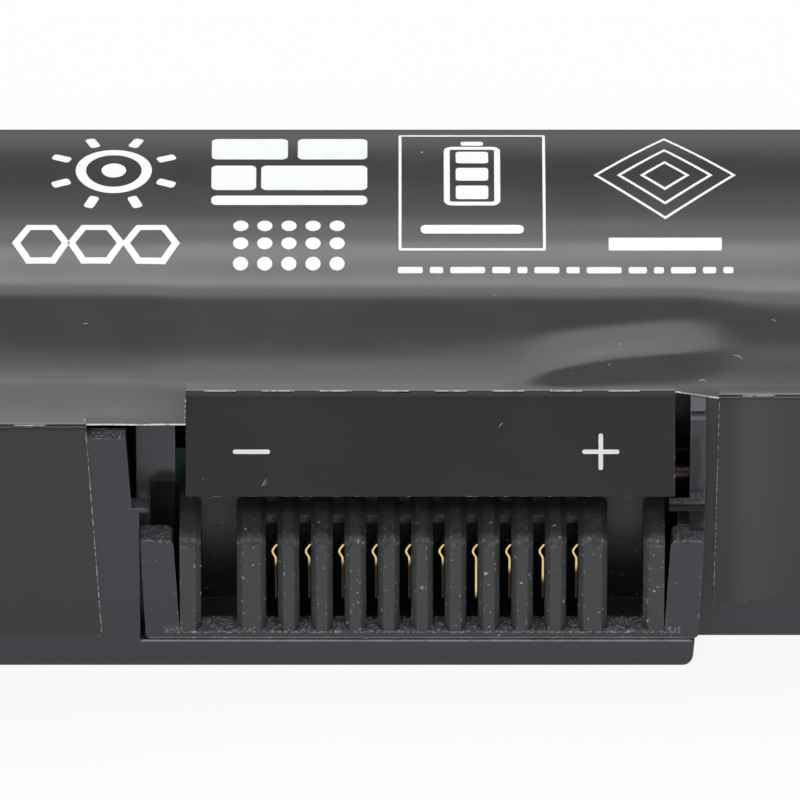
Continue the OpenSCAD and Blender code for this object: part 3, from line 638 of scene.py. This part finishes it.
def makeSection(f):  # heights behind the flap's fold, summed from the tilts
    tilt = smoothCurve(f["tilts"])
    count = round((f["tiltTo"] - f["tiltFrom"]) / f["tiltStep"])
    ys = [f["tiltFrom"] + i * f["tiltStep"] for i in range(count + 1)]
    rises = [math.tan(math.radians(tilt(y + f["tiltStep"] / 2))) * f["tiltStep"] for y in ys[:-1]]
    heights = f["mid"] + np.concatenate([[0], np.cumsum(rises)])
    highest = int(np.argmax(heights))
    front = (f["crest"] - f["mid"]) / (heights[highest] - f["mid"])  # the crest and the back rim are fixed
    back = (f["crest"] - f["mid"]) / (heights[highest] - heights[-1])
    ahead = f["mid"] + (heights - f["mid"]) * front
    behind = f["crest"] - (heights[highest] - heights) * back
    scaled = np.where(np.arange(count + 1) <= highest, ahead, behind)
    print(f"film section: front scaled by {front:.3f}, back by {back:.3f}")
    return lambda y: float(np.interp(y, ys, scaled))


filmSection = makeSection(film)
leftLift, rightLift = smoothCurve(film["leftLift"]), smoothCurve(film["rightLift"])


def creaseDepth(x, y, c):  # sinks from the fold to the crease's line and climbs again behind it
    share = easeStep(x, c["from"], c["full"]) * (1 - easeStep(x, c["fade"], c["to"]))
    if share == 0 or y <= c["start"]:
        return 0
    line = max(c["start"] + c["soft"], c["reach"] - c["drop"] * math.exp(-(x - c["from"]) / c["run"]))

    def depth(there):
        if there > line:
            return math.exp((line - there) / c["back"])
        ahead = max(0, (there - c["start"]) / (line - c["start"]))
        return 0.5 * ahead + 0.5 * math.sin(math.pi / 2 * ahead)
    mean = (depth(y - c["soft"]) + 2 * depth(y) + depth(y + c["soft"])) / 4
    return share * c["depth"] * mean * min(1, (y - c["start"]) / c["soft"])


def filmHeight(x, y):  # middle of the film over the pack, in bench millimetres
    z = filmSection(y)
    lift = easeStep(x, *film["leftOf"]) * leftLift(y) + easeStep(x, *film["rightOf"]) * rightLift(y)
    z += lift * (1 - easeStep(abs(x), *film["endFade"]))
    (start, rise), (stop, fall) = film["waveRise"], film["waveFall"]
    fade = min(1, max(0, y - start) / rise) * min(1, max(0, stop - y) / fall)
    for mx, my, length, width, turn, height in film["waves"]:
        c, s = math.cos(math.radians(turn)), math.sin(math.radians(turn))
        u, v = ((x - mx) * c + (y - my) * s) / length, (-(x - mx) * s + (y - my) * c) / width
        z += fade * height * math.exp(-u * u - v * v)
    z -= creaseDepth(x, y, film["crease"])
    return min(z, film["crest"])


def frontEnd(zone, x, f):  # points from the fold's start to the free end, front parts only
    mid, bend = f["mid"], f["bend"]
    name = zone["name"]
    if name in ("notch", "gap"):
        share = (x - zone["from"]) / (zone["to"] - zone["from"])
        wander = zone.get("wander", 0) * math.sin(9 * share) * math.sin(math.pi * share)
        return [(zone["y"] + (zone.get("yEnd", zone["y"]) - zone["y"]) * share + wander, mid)]
    turn = math.radians(zone.get("turn", 90))
    centre = (zone["y"] + bend * math.tan(turn / 2), mid - bend)
    arc = [(centre[0] + bend * math.cos(a), centre[1] + bend * math.sin(a))
           for a in (math.pi / 2 + turn * i / f["arcSteps"] for i in range(f["arcSteps"] + 1))]
    if name == "flap":
        count, length = f["flapSteps"], zone["length"] - bend * math.tan(turn / 2)
    else:
        low = f["low"]
        if name == "rightTab":
            low += (zone["low"] - low) * easeStep(x, zone["from"], zone["riseTo"])
        count, length = f["tabSteps"], mid - bend - low
    step = (-math.cos(turn), -math.sin(turn))
    steps = [i / count for i in range(1, count)] + [1 - f["burrFaint"] / length, 1]
    return arc + [(arc[-1][0] + step[0] * length * s, arc[-1][1] + step[1] * length * s) for s in steps]


def slitStarts():
    return [film["slitFrom"] + i * film["slitPitch"] for i in range(film["slitCount"])] + film["tabSlits"]


def inSlit(x):
    return any(start - 1e-6 <= x <= start + film["slit"] + 1e-6 for start in slitStarts())


def columnsOf(zone):
    x0, x1 = zone["from"], zone["to"]
    burr = film["burr"] if zone["name"] in ("leftTab", "notch", "rightTab") else film["burrFaint"]
    edges = {x0, x0 + burr, x1 - burr, x1}
    for start in slitStarts():
        for x in (start, start + film["slit"]):
            if x0 < x < x1:
                edges.add(x)
    x = x0
    while x < x1:
        step = film["fineStep"] if film["fineFrom"] < x < film["fineTo"] else film["wideStep"]
        if all(abs(x - e) > film["columnGap"] * step for e in edges):
            edges.add(x)
        x += step
    return sorted(edges)


def foldStart(zone):  # where the level film begins to turn down
    return zone["y"] + film["bend"] * math.tan(math.radians(zone.get("turn", 90)) / 2)


def rowsAhead(f):  # rows between the first common row and the fronts, shared by all the zones
    rows = {foldStart(f[name]) for name in ("flap", "rightTab", "leftTab")}
    step, end, gap = f["ahead"]
    y = f["foldRow"] - step
    while y > end:
        if all(abs(y - row) > gap for row in rows):
            rows.add(y)
        y -= step
    return sorted(rows, reverse=True)


blackSlot, burrSlot, faintSlot, cutSlot = range(4)  # the film's materials in their order


def makeFilm(f):
    mesh = bmesh.new()
    rows = list(np.arange(f["foldRow"], f["tiltTo"] - f["rowStep"] / 2, f["rowStep"])) + [f["tiltTo"]]
    bend, turned = f["bend"], f["mid"] - f["bend"]
    angles = [math.pi / 2 * i / f["arcSteps"] for i in range(1, f["arcSteps"] + 1)]
    backArc = [(f["back"] - bend + bend * math.sin(a), turned + bend * math.cos(a)) for a in angles]
    shares = [i / f["backSteps"] for i in range(1, f["backSteps"])] + [f["hem"], 1]
    backDown = [(f["back"], turned - (turned - f["low"]) * share) for share in shares]
    common = rowsAhead(f)
    for name in ("leftTab", "notch", "flap", "gap", "rightTab"):
        zone = dict(f[name], name=name)
        folded = name not in ("notch", "gap")
        columns = columnsOf(zone)
        nearest = foldStart(zone) if folded else min(zone["y"], zone.get("yEnd", zone["y"]))
        ahead = [y for y in common if y > nearest + 1e-6]
        slitTurns = f["slitTurns"].get(name, ())
        lines = []
        for x in columns:
            front = frontEnd(zone, x, f)
            path = [(x, max(y, front[0][0]), filmHeight(x, max(y, front[0][0]))) for y in ahead]
            edge = zone["to"] if name == "leftTab" else zone["from"]
            pull = zone.get("slant", 0) * max(0, 1 - abs(x - edge) / 3)
            for y, z in front:
                sunk = max(0, (turned - z) / (turned - f["low"]))
                path.append((x + pull * sunk, y, z))
            top = [(x, y, filmHeight(x, y)) for y in rows] + [(x, y, z) for y, z in backArc + backDown]
            lines.append([mesh.verts.new(at(*p)) for p in list(reversed(path)) + top])
        straight = len(front) - f["arcSteps"] - 1 if folded else 0
        frontCount = len(path)
        for a, b, xa, xb in zip(lines, lines[1:], columns, columns[1:]):
            slit = folded and inSlit(xa) and inSlit(xb)
            for i in range(len(a) - 1):
                if slit and straight + f["arcSteps"] - 1 - i in slitTurns:
                    continue
                face = mesh.faces.new((a[i], a[i + 1], b[i + 1], b[i]))
                face.smooth = True
                first, last, down = xa == columns[0], xb == columns[-1], i < straight
                if last and (name == "leftTab" and down or name == "notch" and i < frontCount - 3):
                    face.material_index = burrSlot
                elif folded and i == 0 or name == "flap" and (first or last) and down:
                    face.material_index = faintSlot
                elif name == "rightTab" and first and down:
                    face.material_index = burrSlot
    bmesh.ops.remove_doubles(mesh, verts=mesh.verts, dist=f["joinWithin"] * mm)
    turnOut(mesh)
    highest = max(mesh.faces, key=lambda q: q.calc_center_median().z)
    if highest.normal.z < 0:
        bmesh.ops.reverse_faces(mesh, faces=mesh.faces)
    obj = linkMesh("label_sheet", mesh)
    thick = obj.modifiers.new("thickness", "SOLIDIFY")
    thick.thickness = f["thickness"] * mm
    thick.offset = 0
    thick.material_offset_rim = cutSlot
    splitRims(obj)
    return obj


filmFinish = {
    "dark": (0.0128, 0.0109, 0.0101), "light": (0.0194, 0.0167, 0.0155), "rough": (0.19, 0.24),
    "dust": (1100, 0.09, 0.15), "speck": (0.75, 0.75, 0.76), "speckCover": 0.9, "speckRough": 0.8,
    "grain": (6000, 160), "bump": 0.05,
    "cut": [(0.45, 0.45, 0.46), (0.92, 0.92, 0.93)], "cutPatches": (2600, 0.36, 0.5),
    "cutRough": (0.35, 0.6), "cutGrain": (9000, 0.1),
    "quietFold": (-14.1, 15.1, 3, 3.3, 18.66, 18.93, 0.6),  # the flap's fold reflects less sharply
    # painted sheen: the right tab is painted a little paler, as if it caught more light: x where it starts, x
    # where it ends, y of the fold, colour
    "tabSheen": ((17.9, 19.6), (19.8, 22.5, 0.45), (-11.2, -10.9), (0.042, 0.0395, 0.0385)),
    # patchy edges of the cuts: noise scale, threshold, brightness
    "burr": (4200, (0.44, 0.56), (0.42, 0.42, 0.43)), "faint": (3000, (0.56, 0.72), (0.3, 0.3, 0.31)),
    "burrRough": 0.7,
}


def makeFilmBlack(f, name, burr=None):
    material, tree, shader = startMaterial(name, Specular_IOR_Level=0.5)
    height, base, rough = mottle(tree, f, *f["grain"])
    axes = axesOf(tree)
    # painted sheen on the right tab
    rise, fall, front, sheenColor = f["tabSheen"]
    sheenBand = times(tree, spread(tree, axes[0], rise[0] * mm, rise[1] * mm),
                spread(tree, axes[0], fall[0] * mm, fall[1] * mm, 1, fall[2]))
    sheenBand = times(tree, sheenBand, spread(tree, axes[1], front[0] * mm, front[1] * mm, 1, 0))
    base = paint(tree, base, sheenBand, sheenColor)
    specks = specksOf(tree, *f["dust"])
    base = paint(tree, base, times(tree, specks, f["speckCover"]), f["speck"])
    if burr:
        scale, (low, high), color = burr
        patches = spread(tree, noise(tree, scale, 2, 0.6), low, high)
        base = paint(tree, base, patches, color)
        rough = larger(tree, rough, times(tree, patches, f["burrRough"]))
    rough = larger(tree, rough, times(tree, specks, f["speckRough"]))
    rough = larger(tree, rough, insideBoxes(tree, [f["quietFold"]]))
    finishSurface(tree, shader, base, rough, height, f["bump"])
    return material


def makeFilmCut(f):
    material, tree, shader = startMaterial("filmCut", Specular_IOR_Level=0.5)
    scale, low, high = f["cutPatches"]
    tone = spread(tree, noise(tree, scale), low, high)
    base = blendColor(tree, tone, opaque(f["cut"][0]), opaque(f["cut"][1]))
    fineScale, bump = f["cutGrain"]
    finishSurface(tree, shader, base, spread(tree, tone, 0, 1, *f["cutRough"]), noise(tree, fineScale), bump)
    return material


labelSheet = makeFilm(film)
filmBlack = makeFilmBlack(filmFinish, "filmBlack")
filmBurr = makeFilmBlack(filmFinish, "filmBurr", filmFinish["burr"])
filmFaint = makeFilmBlack(filmFinish, "filmFaint", filmFinish["faint"])
filmCut = makeFilmCut(filmFinish)
for material in (filmBlack, filmBurr, filmFaint, filmCut):
    labelSheet.data.materials.append(material)
setPiece(labelSheet, "film", "label_film")
print("film folded")

# Print on the film: plain bars, rings, hexagons and dots in bench millimetres, and + and - on the flap
marks = {
    "thick": 0.01, "above": 0.004, "cutStep": 0.25, "wideStep": 1,
    "ring": {"x": -18.6, "y": 22.9, "radius": 2.3, "width": 0.62, "sides": 48},
    "ringDot": (-18.6, 22.9, 0.744, 24), "rays": {"count": 8, "from": 2.85, "to": 4, "round": 0.2},
    # middle x, middle y, width, height of the bricks
    "bricks": [(-10.4, 25.35, 4.6, 2.5), (-5.4, 25.35, 4.2, 2.5), (-11.35, 22.15, 2.7, 2.5),
               (-6.5, 22.15, 6.4, 2.5), (-8, 19.9, 9.4, 0.9)],
    "brickRound": 0.35,
    "hexagons": {"x": [-22.9, -19.6, -16.3], "y": 16.05, "radius": 1.75, "width": 0.5, "sides": 6},
    "dots": {"x": -8, "y": 16.05, "across": 5, "down": 3, "pitch": 1.45, "radius": 0.46, "sides": 20},
    "frame": {"x": 3.02, "y": 21.3, "width": 8.85, "height": 11.6, "line": 0.17, "round": 0.12},
    "cell": {"x": 3.02, "y": 22.5, "width": 3.4, "height": 6.2, "line": 0.36, "round": 0.5},
    # cap and foot of the cell, then the bar: middle x, middle y, width, height, corner
    "bars": [(3.02, 26, 1.36, 0.5, 0.15), (3.02, 17.2, 6.2, 0.75, 0.3), (14.62, 16, 6.8, 0.98, 0.08)],
    "cellBars": {"count": 3, "gap": 0.5, "round": 0.2},
    "diamond": {"x": 14.65, "y": 22.4, "radii": [4.3, 2.9, 1.5], "width": 0.26, "sides": 4},
    "dashes": {"from": -1.45, "to": 18.7, "y": 14.17, "height": 0.42, "lengths": [1.5, 0.8, 2.1, 1.1, 0.6],
               "gap": 0.42, "round": 0.12, "shortest": 0.4},
    "signs": {"minusX": -10.19, "plusX": 10.66, "down": 3.63, "arm": 1.11, "line": 0.27},
}


def roundedBar(x, y, width, height, radius, steps=5):
    radius = min(radius, width / 2, height / 2)
    points = []
    for cx, cy, start in ((1, 1, 0), (-1, 1, 90), (-1, -1, 180), (1, -1, 270)):
        for i in range(steps + 1):
            a = math.radians(start + 90 * i / steps)
            points.append((x + cx * (width / 2 - radius) + radius * math.cos(a),
                           y + cy * (height / 2 - radius) + radius * math.sin(a)))
    return points


def regular(x, y, radius, sides, turn=0):
    angles = [math.radians(turn + 360 * i / sides) for i in range(sides)]
    return [(x + radius * math.cos(a), y + radius * math.sin(a)) for a in angles]


def plusOutline(x, y, arm, line, steps=6):
    points, half = [], line / 2
    for quarter in range(4):
        turn = math.radians(90 * quarter)
        local = [(arm - half + half * math.cos(a), half * math.sin(a))
                 for a in (math.pi * (i / steps - 0.5) for i in range(steps + 1))] + [(half, half)]
        points += [(x + u * math.cos(turn) - v * math.sin(turn), y + u * math.sin(turn) + v * math.cos(turn))
                   for u, v in local]
    return points


def flatPoints(mesh, points):
    return [mesh.verts.new((x, y, 0)) for x, y in points]


def printShape(mesh, outer, hole=None):
    first = flatPoints(mesh, outer)
    if hole is None:
        mesh.faces.new(first)
    else:
        bridge(mesh, first, flatPoints(mesh, hole))


def printRing(mesh, x, y, radius, r):
    printShape(mesh, regular(x, y, radius, r["sides"]), regular(x, y, radius - r["width"], r["sides"]))


def printFrame(mesh, f):
    line = f["line"]
    inside = (f["width"] - 2 * line, f["height"] - 2 * line, max(0.02, f["round"] - line))
    printShape(mesh, roundedBar(f["x"], f["y"], f["width"], f["height"], f["round"]),
               roundedBar(f["x"], f["y"], *inside))


def drawMarks(mesh, m):
    ring, rays = m["ring"], m["rays"]
    printRing(mesh, ring["x"], ring["y"], ring["radius"], ring)
    printShape(mesh, regular(*m["ringDot"]))
    length, away = rays["to"] - rays["from"], (rays["from"] + rays["to"]) / 2
    for i in range(rays["count"]):
        a = math.radians(360 * (i + 0.5) / rays["count"])
        c, s = math.cos(a), math.sin(a)
        ray = roundedBar(away, 0, length, ring["width"], rays["round"])
        printShape(mesh, [(ring["x"] + u * c - v * s, ring["y"] + u * s + v * c) for u, v in ray])
    for brick in m["bricks"]:
        printShape(mesh, roundedBar(*brick, m["brickRound"]))
    hexagon = m["hexagons"]
    for x in hexagon["x"]:
        printRing(mesh, x, hexagon["y"], hexagon["radius"], hexagon)
    d = m["dots"]
    for i in range(d["across"]):
        for j in range(d["down"]):
            x = d["x"] + (i - (d["across"] - 1) / 2) * d["pitch"]
            y = d["y"] + (j - (d["down"] - 1) / 2) * d["pitch"]
            printShape(mesh, regular(x, y, d["radius"], d["sides"]))
    cell, inner = m["cell"], m["cellBars"]
    printFrame(mesh, m["frame"])
    printFrame(mesh, cell)
    room = (cell["height"] - 2 * cell["line"]) / inner["count"]
    for i in range(inner["count"]):
        y = cell["y"] + room * (i + 0.5 - inner["count"] / 2)
        width = cell["width"] - 4 * cell["line"]
        printShape(mesh, roundedBar(cell["x"], y, width, room - inner["gap"], inner["round"]))
    for bar in m["bars"]:
        printShape(mesh, roundedBar(*bar))
    diamond = m["diamond"]
    for radius in diamond["radii"]:
        printRing(mesh, diamond["x"], diamond["y"], radius, diamond)
    dash = m["dashes"]
    x, turn = dash["from"], 0
    while x < dash["to"] - dash["shortest"]:
        length = min(dash["lengths"][turn % len(dash["lengths"])], dash["to"] - x)
        printShape(mesh, roundedBar(x + length / 2, dash["y"], length, dash["height"], dash["round"]))
        x += length + dash["gap"]
        turn += 1


def cutUp(mesh, step, axis):  # cuts flat marks along even lines, so that they can follow the film
    values = [vert.co[axis] for vert in mesh.verts]
    first, last = math.ceil(min(values) / step), math.floor(max(values) / step)
    for k in range(first, last + 1):
        spot, way = Vector((0, 0, 0)), Vector((0, 0, 0))
        spot[axis], way[axis] = k * step, 1
        everything = mesh.verts[:] + mesh.edges[:] + mesh.faces[:]
        bmesh.ops.bisect_plane(mesh, geom=everything, plane_co=spot, plane_no=way)


def finishMarks(name, mesh, m, toBench, material):
    for vert in mesh.verts:
        vert.co = toBench(vert.co.x, vert.co.y)
    for face in mesh.faces:
        face.smooth = True
    turnOut(mesh)
    turned = [face for face in mesh.faces if face.normal.z < 0]
    bmesh.ops.reverse_faces(mesh, faces=turned)
    obj = linkMesh(name, mesh)
    layer = obj.modifiers.new("ink", "SOLIDIFY")
    layer.thickness = m["thick"] * mm
    layer.offset = 1
    splitRims(obj)
    obj.data.materials.append(material)
    return setPiece(obj, "film")


ink = {"gloss": 0.4, "grain": (7000, 900), "patches": (0.25, 0.5), "rough": (0.35, 0.5), "bump": 0.05}


def makeInk(name, color, worn):
    material, tree, shader = startMaterial(name, Specular_IOR_Level=ink["gloss"])
    fine = useGroup(tree, grain, Scale=ink["grain"][0], Blotch=ink["grain"][1])
    base = blendColor(tree, spread(tree, fine["Cloud"], *ink["patches"]), opaque(worn), opaque(color))
    rough = spread(tree, fine["Height"], *cloudRange, *ink["rough"])
    finishSurface(tree, shader, base, rough, fine["Height"], ink["bump"])
    return material


printWhite = makeInk("printWhite", (0.94, 0.945, 0.95), (0.88, 0.88, 0.89))
lintPale = makeInk("lintPale", (0.5, 0.5, 0.51), (0.22, 0.22, 0.23))


def onTop(x, y):
    return at(x, y, filmHeight(x, y) + film["thickness"] / 2 + marks["above"])


def onFlap(x, down):  # down is measured along the flap from its fold
    turn = math.radians(film["flap"]["turn"])
    lift = film["thickness"] / 2 + marks["above"]
    return at(x, film["flap"]["y"] + math.cos(turn) * down - math.sin(turn) * lift,
              film["mid"] + math.sin(turn) * down + math.cos(turn) * lift)


def makeMarks(m):
    mesh = bmesh.new()
    drawMarks(mesh, m)
    cutUp(mesh, m["cutStep"], 1)
    cutUp(mesh, m["wideStep"], 0)
    finishMarks("print_marks", mesh, m, onTop, printWhite)
    mesh = bmesh.new()
    s = m["signs"]
    printShape(mesh, roundedBar(s["minusX"], -s["down"], 2 * s["arm"], s["line"], s["line"]))
    printShape(mesh, plusOutline(s["plusX"], -s["down"], s["arm"], s["line"]))
    finishMarks("pole_signs", mesh, m, onFlap, printWhite)


makeMarks(marks)
print("print laid on the film")

# Lint: short hairs and crumbs on the film, as points along each hair; y on the flap is minus the way down
lint = {
    "thick": 0.02, "width": 0.045, "tip": 0.4,
    "top": [[(16.5, 3.98), (16.62, 4.16), (16.75, 4.2), (16.93, 4)],
            [(18.62, 6.52), (18.8, 6.5), (19, 6.38), (19.12, 6.15)],
            [(20.92, 10.12), (21.05, 10.02), (21.22, 9.9)], [(-20.3, 9.1), (-20.16, 9.2), (-20, 9.16)],
            [(11.1, 5.72), (11.2, 5.86), (11.22, 5.95)], [(4.2, 12.2), (4.36, 12.28), (4.5, 12.2)]],
    "flap": [[(-9.58, -5.72), (-9.44, -5.52), (-9.28, -5.3)], [(-9.46, -5.66), (-9.34, -5.62)],
             [(-13.12, -5.32), (-13.06, -5.28)], [(4.6, -2.1), (4.68, -1.96), (4.8, -1.9)]],
}


def hairOutline(points, width, tip):
    left, right = [], []
    last = len(points) - 1
    for i, (x, y) in enumerate(points):
        (x0, y0), (x1, y1) = points[max(0, i - 1)], points[min(last, i + 1)]
        length = math.hypot(x1 - x0, y1 - y0)
        half = width / 2 * (1 if 0 < i < last else tip)
        nx, ny = -(y1 - y0) / length * half, (x1 - x0) / length * half
        left.append((x + nx, y + ny))
        right.append((x - nx, y - ny))
    return left, right


def makeLint(n):
    for name, spots, toBench in (("lint_top", n["top"], onTop), ("lint_flap", n["flap"], onFlap)):
        mesh = bmesh.new()
        for points in spots:
            left, right = hairOutline(points, n["width"], n["tip"])
            a, b = flatPoints(mesh, left), flatPoints(mesh, right)
            for i in range(len(a) - 1):
                mesh.faces.new((b[i], b[i + 1], a[i + 1], a[i]))
        finishMarks(name, mesh, n, toBench, lintPale)


makeLint(lint)
print("lint laid on the film")

# Light, floor and surroundings
studio = {
    "world": 0.2, "horizon": 1, "ceiling": 0.41, "turn": (0.2, 0.42), "behind": 0.105, "behindBy": 0.3,
    "cool": (0.955, 0.985, 1),
    # from azimuth (0 = front), elevation, distance, width, height, radiance
    "boxes": [(180, 62, 0.9, 0.7, 0.7, 2.2), (180, 71, 0.9, 0.7, 0.36, 3), (-30, 45, 1, 0.5, 0.45, 2),
              (35, 50, 1, 0.5, 0.45, 1.8), (0, 50, 1, 0.7, 0.1, 5.5)],
    "floor": 3, "floorColor": (0.9, 0.9, 0.9), "glow": 0.9,
}


def seenPlainly(tree):  # rays that see the bright surroundings: from the camera, metal and glass
    path = put(tree, "LightPath").outputs
    shiny = larger(tree, path["Is Glossy Ray"], path["Is Transmission Ray"])
    return larger(tree, path["Is Camera Ray"], shiny)


def lightStudio(s):
    world = bpy.data.worlds.new("studio")
    bpy.context.scene.world = world
    world.use_nodes = True
    tree = world.node_tree
    tree.nodes.clear()
    way = put(tree, "SeparateXYZ", {0: put(tree, "TexCoord").outputs["Generated"]})
    seen = spread(tree, way.outputs[2], s["turn"][0], s["turn"][1], s["horizon"], s["ceiling"])
    seen = calc(tree, "ADD", seen, spread(tree, way.outputs[1], 0, s["behindBy"], 0, s["behind"]))
    sides = {0: seenPlainly(tree), 2: s["world"], 3: seen}
    lit = put(tree, "Mix", sides, data_type="FLOAT").outputs[0]
    back = put(tree, "Background", {"Color": (1, 1, 1, 1), "Strength": lit})
    tree.links.new(back.outputs[0], put(tree, "OutputWorld").inputs[0])
    for azimuth, elevation, away, width, height, radiance in s["boxes"]:
        lamp = bpy.data.lights.new("softbox", "AREA")
        lamp.shape = "RECTANGLE"
        lamp.size, lamp.size_y = width, height
        lamp.energy = radiance * math.pi * width * height
        lamp.color = s["cool"] if azimuth == 180 else (1, 1, 1)
        a, e = math.radians(azimuth), math.radians(elevation)
        side = Vector((math.sin(a) * math.cos(e), -math.cos(a) * math.cos(e), math.sin(e)))
        obj = addObject("softbox", lamp)
        obj.location = side * away
        obj.rotation_euler = side.to_track_quat("Z", "Y").to_euler()


def makeFloor(s):
    mesh = bmesh.new()
    bmesh.ops.create_grid(mesh, x_segments=1, y_segments=1, size=s["floor"])
    obj = linkMesh("table", mesh)
    material = bpy.data.materials.new("tableTop")
    material.use_nodes = True
    tree = material.node_tree
    tree.nodes.clear()
    matt = put(tree, "BsdfDiffuse", {"Color": opaque(s["floorColor"])})
    glow = put(tree, "Emission", {"Color": (1, 1, 1, 1), "Strength": 1})
    share = times(tree, seenPlainly(tree), s["glow"])
    both = put(tree, "MixShader", {0: share, 1: matt.outputs[0], 2: glow.outputs[0]})
    clear = put(tree, "BsdfTransparent")
    under = put(tree, "NewGeometry").outputs["Backfacing"]
    shown = put(tree, "MixShader", {0: under, 1: both.outputs[0], 2: clear.outputs[0]})
    tree.links.new(shown.outputs[0], put(tree, "OutputMaterial").inputs[0])
    obj.data.materials.append(material)


lightStudio(studio)
makeFloor(studio)
bpy.context.scene.view_settings.view_transform = "Standard"
print("studio lit")
